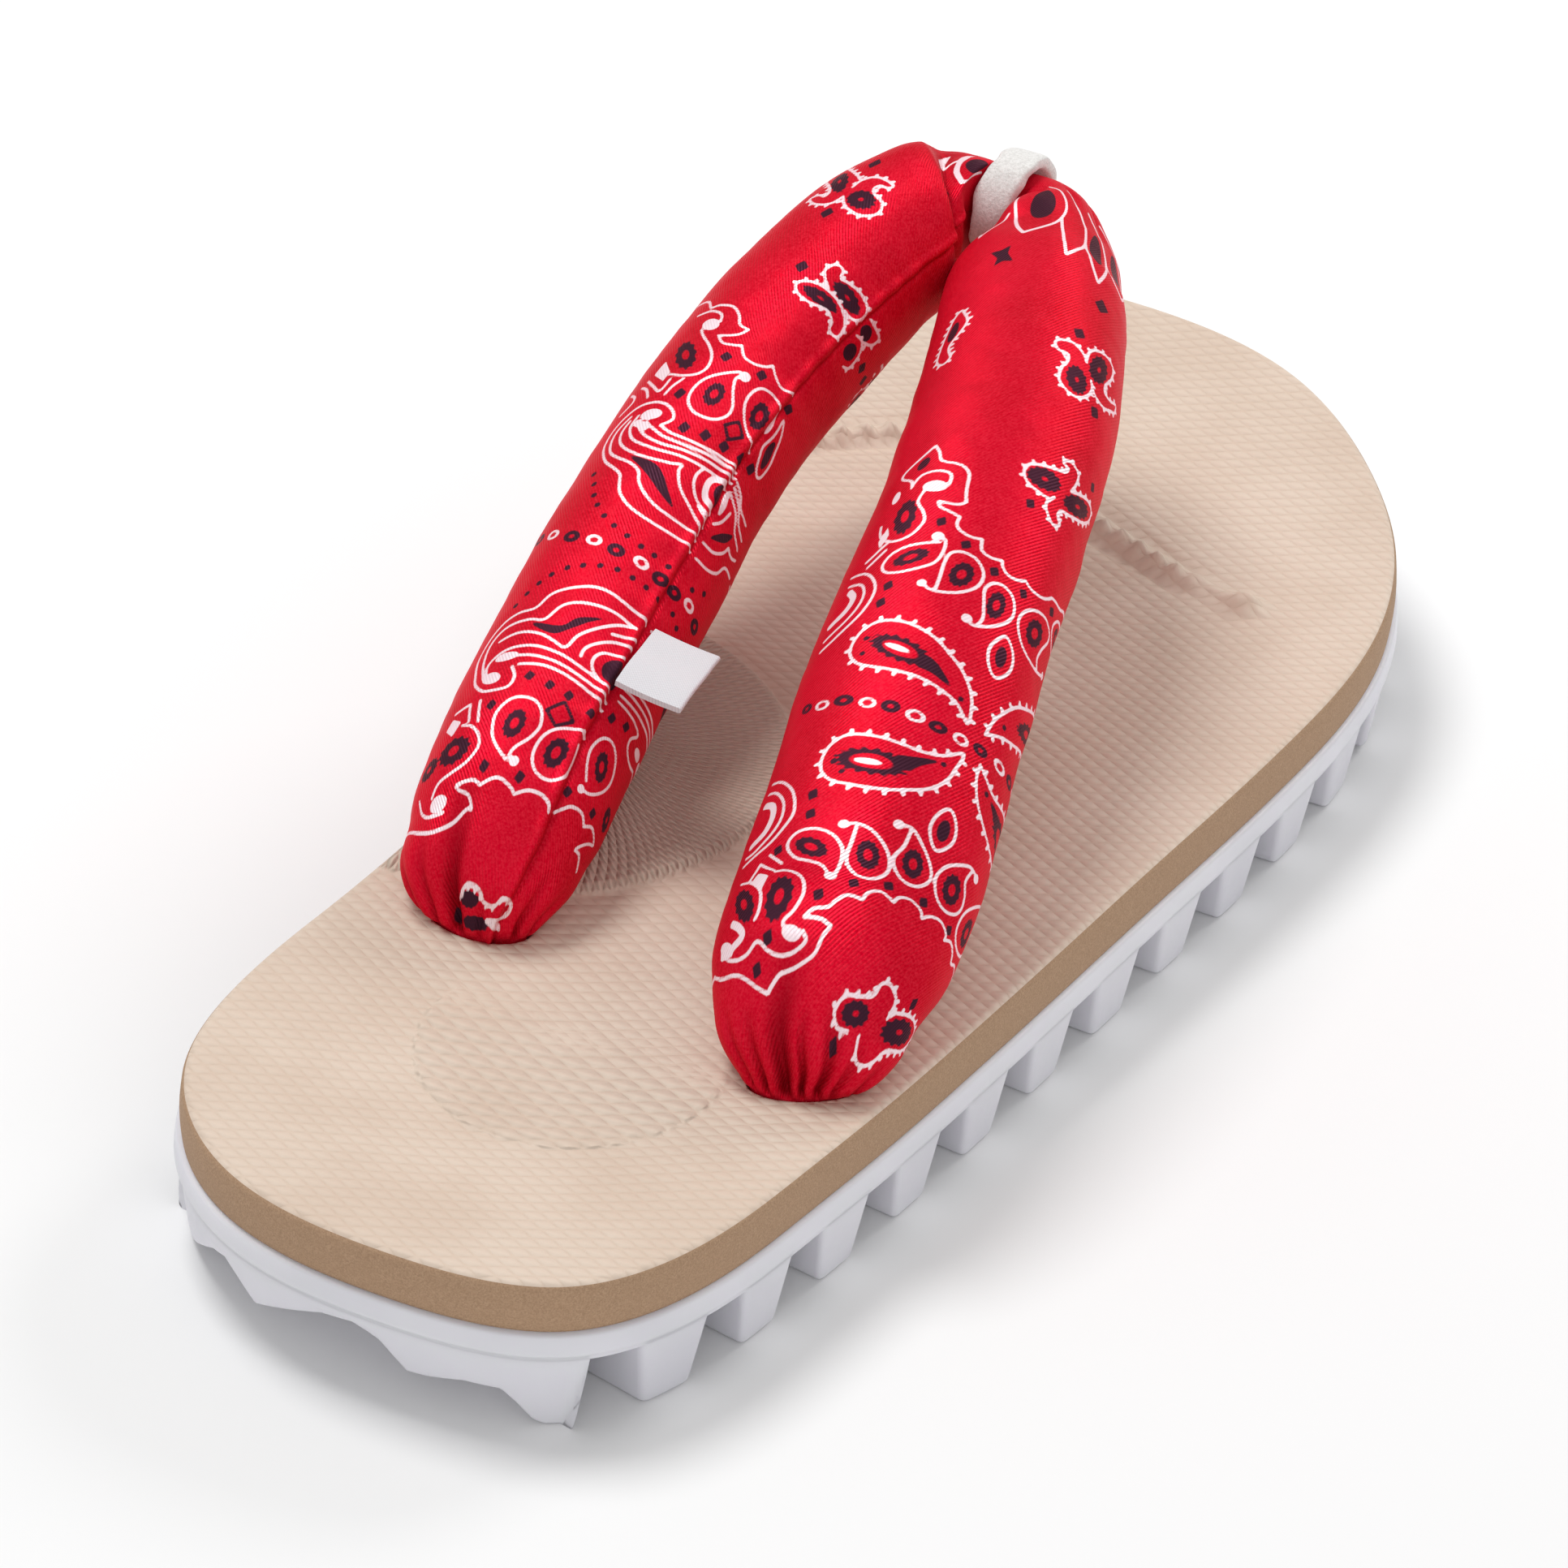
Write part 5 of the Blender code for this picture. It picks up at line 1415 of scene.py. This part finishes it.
    p.line([(89.4, 4.2), (90.4, 6.4)], .7)
    p.fill([(76.3, -7), (78.8, -5), (81.4, -2.9), (82.8, -.6), (83.3, 3.8), (81.6, 1.4), (80, -.9),
            (77.6, -4.2)], "dark")
    for run in (
        [(79, -14.9), (80.5, -16.3), (83, -17)], [(75, -14.8), (75, -17.5), (76.5, -19.5), (78.3, -20.3)],
        [(71.5, -14.8), (71.7, -18), (73, -20.5), (75.3, -21.8), (75.7, -25)],
        [(86, -15.3), (84, -18), (81.3, -20), (80, -23)], [(87.2, -15.3), (85.5, -18), (83, -20), (82, -23)],
        [(88.3, -15.3), (87, -17.5), (85.3, -19), (84.5, -22)], [(78.3, -20.3), (77.7, -22), (78.6, -24)],
    ):
        p.line(run, .27)
    p.oval((83.6, -15.0), (2.6, .6), 2, "white")
    p.fill([(76.5, -15.5), (78, -18.8), (80.6, -20), (79, -17.4)], "dark")
    # teardrops, far half
    p.drop([(92.5, -18.6), (94, -17.2), (97, -16.4), (100, -17), (104.5, -17.2), (101, -18.8), (97, -19.8),
            (93.5, -19.6), (92.5, -18.6)], None, None)
    p.oval((97, -18.2), (3, .9), 3)
    p.drop([(94.3, -14.6), (95.5, -12.3), (98, -10), (100.5, -8.8), (103, -8.9), (104.8, -10), (105.3, -12.5),
            (104.3, -14.6)], None, (100, -12.1, 2.7, 1.6, 8))
    p.oval((101.7, -15.2), (2.4, .55), 4, "white")
    p.drop([(104.8, -6.5), (103.5, -5.3), (101, -6), (98.5, -7.3), (96.5, -7.5), (94.8, -6.2),
            (94.1, -4), (94.5, -1.8), (96.2, -.2), (98.5, .1), (101, -.8), (103, -2.7), (104.9, -5.2)],
            (104.6, -6.4, 1.0), (98.8, -3.6, 2.4, 1.6, 0))
    p.line([(112, 5.9), (110.5, 4.6), (108.3, 2.2), (106, .5), (103.5, 0), (101.5, 1), (100.7, 3.5),
            (101, 6)])
    p.oval((113.4, 4.7), (1.4, 1.8), -20, "white")
    p.line([(114.3, 3.2), (116, 4), (116.7, 6.5), (116, 9.5)])
    p.oval((105.6, 5.4), (3.9, 1.8), 35, "dark", .36, 11)
    p.fill([(99.5, 6.6), (101.5, 6.2), (104.5, 9), (101.5, 9.8)], "white", curved=False)
    p.line([(96.5, 4.4), (98.3, 3.9), (100, 2.8)], .27)
    p.line([(100.3, 10.5), (98.5, 8), (97.2, 5.9), (99.8, 5.2)], .27)
    p.line([(96, 7.7), (98, 9.3), (99, 11.2)], .27)
    p.line([(93.5, 13), (95.5, 11.3), (97, 11.6), (98.2, 13.6)], .27)
    for part in ([(109.8, -15.8), (108.3, -14.5), (107.7, -12.5), (108.7, -10.7), (110.2, -9.3)],
            [(110.2, -9.3), (108.9, -8.3), (108, -6.5), (108.2, -4.5), (110.2, -3)], [(110.2, -3),
            (109.6, -1.5), (109.5, .3), (111, 1.8)], [(111, 1.8), (111.5, 0), (112.5, -1.5),
            (114.2, -2.3)], [(114.2, -2.3), (114.6, -.5), (116.5, .7), (118, 2.8), (118, 6),
            (117.6, 7.5), (119.5, 9.8), (120, 14)],):
        p.line(part)
    for spot in ((91.5, -13.4), (91.4, -9.7), (91.3, -6), (91, -2.2), (97, 1.8), (106.7, -1.8), (106.9, -8.6),
                 (106.8, -16.6), (92.4, -16.6)):
        p.diamond(spot, 1.0)
    p.line([(94.7, -11.6), (96.6, -9.7), (94.7, -7.9), (92.9, -9.7), (94.7, -11.6)], .3, "dark", curved=False)
    # pairs on the plain ground
    p.toothed([(124.4, -14.2), (124.9, -15.3), (127.5, -14.8), (129, -13), (129.8, -11), (130, -9),
            (129.8, -6.5), (128.8, -4.5), (127.4, -3.7), (126, -5), (125.8, -7.5), (126.5, -9.5),
            (126.9, -11), (126, -12.7), (124.8, -13.1), (124.4, -14.2)], *SMALL_TEETH)
    p.oval((127.9, -8.6), (1.3, 3.6), 4, "dark", .2, 13)
    p.toothed([(129.3, -13), (129.5, -15.4), (131.5, -16.3), (133.3, -15.5), (134, -13), (133.7, -10.5),
            (133.4, -8.8), (134.9, -8.3), (135.1, -6.7), (133, -5.8), (131.5, -6.8), (130.4, -8.4)],
            *SMALL_TEETH)
    p.oval((131.5, -11.9), (1.6, 3.4), -8, "dark", .2, 13)
    p.toothed([(123.3, -20.5), (124.5, -21.9), (127.5, -21.7), (129.4, -20), (129, -18.2)], *SMALL_TEETH)
    p.oval((126.2, -19.6), (1.7, 1.5))
    p.toothed([(129.4, -20), (131, -22.2), (133, -22.4), (133.2, -20), (133.2, -18.2)], *SMALL_TEETH)
    p.oval((131, -19.4), (1.5, 1.5))
    p.diamond((127.5, -24.4), 1.0)
    p.toothed([(147.8, 2.2), (146.5, .7), (145.8, -1), (145.7, -3.3), (146.8, -5), (148.3, -5.7),
            (150, -4.7), (150.5, -2.5), (151.5, -1.3), (152.5, -1.8), (152.8, -3.3), (153.8, -3.5),
            (154, -1), (153.5, 1), (152, 2.3), (150.2, 2.5)], *SMALL_TEETH)
    p.toothed([(152, 2.3), (153, 4.5), (154.3, 8), (155.3, 11), (153.6, 13.2), (151.2, 11.2), (149.8, 8.4),
               (148.2, 6.0), (146.9, 5.9), (147.2, 7.6), (146.3, 9.2), (145, 7), (145, 4.5), (146, 2.8),
               (147.8, 2.2)], *SMALL_TEETH)
    p.oval((148.5, -1.3), (1.9, 2.7), 0, "dark", .2, 13)
    p.oval((150.9, 6.7), (1.5, 3.8), -38, "dark", .2, 13)
    for spot in ((143.6, 1.9), (131, -2.3), (156.5, 4.2), (162, -12.2)):
        p.diamond(spot, 1.1)
    # leaf by the neck
    p.line([(166.3, -11.5), (167, -7), (169, -2), (170.5, 3)], .5)
    p.line([(166.3, -11.5), (169, -11.8), (172, -9)], .45)
    p.line([(166, -2.3), (168.8, -1.5)], .45)
    p.line([(166, -2.3), (167, 2), (168.5, 6)], .45)
    p.oval((170.4, -6), (1.6, 4.4), -12)


def make_arm(arm):
    """Make one arm of the strap as a padded tube with its print."""
    line = strap_line()
    total = line["s"][-1]
    if arm == "outer":
        chosen = line["s"] <= line["neck"] + 0.3
        u_row = line["s"][chosen]
    else:
        chosen = line["s"] >= line["neck"] - 0.3
        u_row = total - line["s"][chosen]
    round_way = 2.0 * pi * PRINT_RADIUS
    v_row = np.concatenate([np.linspace(-29.0, 29.0, 162), np.linspace(29.0, round_way - 29.0, 45)[1:-1]])
    v_row = np.where(v_row > round_way / 2.0, v_row - round_way, v_row)
    u, v = np.meshgrid(u_row, v_row, indexing="ij")
    angle = pi / 2.0 + v / PRINT_RADIUS
    centre, width, depth = (line[key][chosen][:, None, :] for key in ("centre", "width", "depth"))
    a, b = line["a"][chosen][:, None], line["b"][chosen][:, None]
    across, up = np.cos(angle), np.sin(angle)
    point = centre + width * (a * across)[..., None] + depth * (b * up)[..., None]
    out = width * (b * across)[..., None] + depth * (a * up)[..., None]
    out = out / np.linalg.norm(out, axis=2)[..., None]
    length = u_row.max()
    height = point[..., 2] - footbed_top(point[..., 0], point[..., 1])
    relief, fold_shade = strap_relief(arm, u, v, length, height)
    point = point + out * relief[..., None]
    point = clear_loop(arm, point)
    faces = tube_faces(0, len(u_row), len(v_row))
    piece = make_piece("strap_" + arm + "_arm", point.reshape(-1, 3), faces, [CLOTH], "strap")
    low, high = CHART_SIDES[arm]
    chart = Print(u, np.where(v > high, 2.0 * high - v, np.where(v < low, 2.0 * low - v, v)))
    (print_outer if arm == "outer" else print_inner)(chart)
    # the print fields and the painted fold shade go onto the mesh
    for name, values in (("white", chart.white), ("dark", chart.dark), ("fold_shade", fold_shade)):
        layer = piece.data.attributes.new(name, "FLOAT", "POINT")
        layer.data.foreach_set("value", values.ravel().astype(np.float32))
    uv = piece.data.uv_layers.new(name="weave")
    pairs = np.column_stack([u.ravel(), v.ravel()])
    corner = np.zeros(len(piece.data.loops), dtype=np.int32)
    piece.data.loops.foreach_get("vertex_index", corner)
    uv.data.foreach_set("uv", pairs[corner].astype(np.float32).ravel())
    return piece


def band_lean(y, z):
    """Return how far the toe loop leans to the inner side: most at the rear of its ring, not at its foot."""
    lean = smooth(y, 82.0, 91.0) - 1.6 - 1.5 * hill(z, 56.0, 12.0) * (1.0 - smooth(y, 86.0, 94.0))
    return lean * smooth(z, 24.0, 44.0)


def clear_loop(arm, point):
    """Press the cloth flat where it would run into the toe loop."""
    reach = np.hypot(point[..., 1] - NECK.y, point[..., 2] - NECK.z)
    beside = smooth(reach, 5.9, 6.3) * smooth(point[..., 1], 74.5, 81.0)
    if arm == "outer":
        limit = NECK.x + band_lean(point[..., 1], point[..., 2]) + BAND_HALF + 0.5
        moved = np.maximum(point[..., 0], limit)
    else:
        limit = NECK.x + band_lean(point[..., 1], point[..., 2]) - BAND_HALF - 0.6
        moved = np.minimum(point[..., 0], limit)
    point[..., 0] = point[..., 0] * (1.0 - beside) + moved * beside
    return point


# Toe loop and label

def make_loop():
    """Make the white cloth band round the neck, with its post."""
    outer = []
    for step in range(61):
        angle = -0.22 * pi + 1.44 * pi * step / 60
        outer.append((NECK.y + LOOP_OUTER_RADIUS * cos(angle), NECK.z + LOOP_OUTER_RADIUS * sin(angle)))
    for y, z in ((82.5, 48.0), (82.5, 20.8), (92.5, 20.8), (92.5, 48.0)):
        outer.append((y, z))
    outer = np.array(outer)
    closed = np.vstack([outer, outer[:1]])
    path = resample(closed, 241)[:-1]
    vertices = []
    section = []
    for angle in np.linspace(0.0, 2.0 * pi, 28, endpoint=False):
        x = np.sign(cos(angle)) * abs(cos(angle)) ** 0.45
        q = np.sign(sin(angle)) * abs(sin(angle)) ** 0.45
        section.append((x, q))
    for y, z in path:
        reach = np.array([y - NECK.y, z - NECK.z])
        length = np.linalg.norm(reach)
        hole = np.array([NECK.y, NECK.z]) + reach / length * LOOP_HOLE_RADIUS
        for x, q in section:
            share = 0.5 + 0.5 * q
            spot = hole * (1 - share) + np.array([y, z]) * share
            wrinkle = 0.35 * float(noise(spot[0] * 1.1 + 9, spot[1] + x * 3 + 9, 2.6, 21))
            lean = float(band_lean(spot[0], spot[1]))
            vertices.append((NECK.x + lean + x * (BAND_HALF + wrinkle * abs(x)), spot[0], spot[1]))
    size = len(section)
    faces = tube_faces(0, len(path), size, caps=False)
    last = (len(path) - 1) * size
    for side in range(size):
        other = (side + 1) % size
        faces.append((last + side, last + other, other, side))
    return make_piece("toe_loop_cloth", vertices, faces, [felt_material()], "toe_loop")


LABEL_LENGTH = 14.8


def make_label():
    """Make the blank folded ribbon."""
    centre = Vector((-13.5, -29.4, 51.6))
    along = Vector((-0.24, 0.96, 0.13)).normalized()
    down = Vector((0.96, 0.23, -0.17))
    down = (down - along * down.dot(along)).normalized()
    thick = along.cross(down)
    turn = Matrix.Rotation(0.20, 3, thick)
    along, down = turn @ along, turn @ down
    profile = []
    for step in range(13):
        angle = -pi / 2.0 + pi * step / 12
        profile.append((5.15 + 0.5 * cos(angle), 0.5 * sin(angle)))
    for x in np.linspace(4.0, -5.4, 12):
        profile.append((x, 0.5))
    for x in np.linspace(-5.4, 4.0, 12):
        profile.append((x, -0.5))
    vertices = []
    rows = 24
    for row in range(rows + 1):
        share = row / rows - 0.5
        for x, y in profile:
            curl = 1.1 * max(0.0, share - 0.22) ** 2 * 8.0
            bend = 0.25 * sin(pi * (x + 5.5) / 11.0) + 0.25 * sin(share * 7.0) + curl
            point = centre + along * (share * LABEL_LENGTH) + down * x + thick * (y + bend)
            vertices.append(tuple(point))
    faces = tube_faces(0, rows + 1, len(profile))
    return make_piece("label_ribbon", vertices, faces, [ribbon_material()], "size_label", sharp=0.9)


# Stage

def make_stage():
    """Make the floor, the lights and the camera."""
    floor_material = Nodes("floor")
    floor_material.set("Base Color", (0.86, 0.86, 0.86, 1.0))
    floor_material.set("Roughness", 0.9)
    floor_material.set("Specular IOR Level", 0.1)
    mesh = bpy.data.meshes.new("floor")
    mesh.from_pydata([(-8, -8, 0), (8, -8, 0), (8, 8, 0), (-8, 8, 0)], [], [(0, 1, 2, 3)])
    mesh.materials.append(floor_material.material)
    floor = bpy.data.objects.new("floor", mesh)
    bpy.context.scene.collection.objects.link(floor)
    world = bpy.data.worlds.new("studio")
    bpy.context.scene.world = world
    world.use_nodes = True
    world.node_tree.nodes["Background"].inputs[0].default_value = (1.0, 1.0, 1.0, 1.0)
    world.node_tree.nodes["Background"].inputs[1].default_value = 0.54
    add_light("key", (-0.7, 0.2, 1.55), 0.7, 15.0)
    add_light("fill", (0.9, -1.3, 0.7), 1.6, 5.0)
    add_light("back", (0.45, 1.2, 0.9), 0.6, 6.0)


def add_light(name, place, size, power):
    """Add an area light that looks at the sandal."""
    data = bpy.data.lights.new(name, "AREA")
    data.shape = "DISK"
    data.size = size
    data.energy = power
    light = bpy.data.objects.new(name, data)
    light.location = place
    light.rotation_euler = (Vector((0.0, 0.0, 0.03)) - Vector(place)).to_track_quat("-Z", "Y").to_euler()
    bpy.context.scene.collection.objects.link(light)


CAMERA_PLACE = Vector((341.3, -768.9, 571.4))
CAMERA_TARGET = Vector((-0.7, -13.1, 25.7))
CAMERA_UP = Vector((-0.2766, 0.4865, 0.8288))
CAMERA_LENS = 148.0


def make_camera():
    """Make the photo's camera."""
    data = bpy.data.cameras.new("camera")
    data.sensor_width = 36.0
    data.lens = CAMERA_LENS
    data.clip_end = 30.0
    camera = bpy.data.objects.new("camera", data)
    back = (CAMERA_PLACE - CAMERA_TARGET).normalized()
    right = CAMERA_UP.cross(back).normalized()
    up = back.cross(right)
    matrix = Matrix((right, up, back)).transposed().to_4x4()
    matrix.translation = CAMERA_PLACE * MM
    camera.matrix_world = matrix
    bpy.context.scene.collection.objects.link(camera)
    bpy.context.scene.camera = camera


CLOTH = cloth_material()
make_outsole()
make_footbed()
make_arm("outer")
make_arm("inner")
make_loop()
make_label()
make_stage()
make_camera()
bpy.context.scene.view_settings.view_transform = "Standard"
bpy.context.scene.view_settings.look = "None"
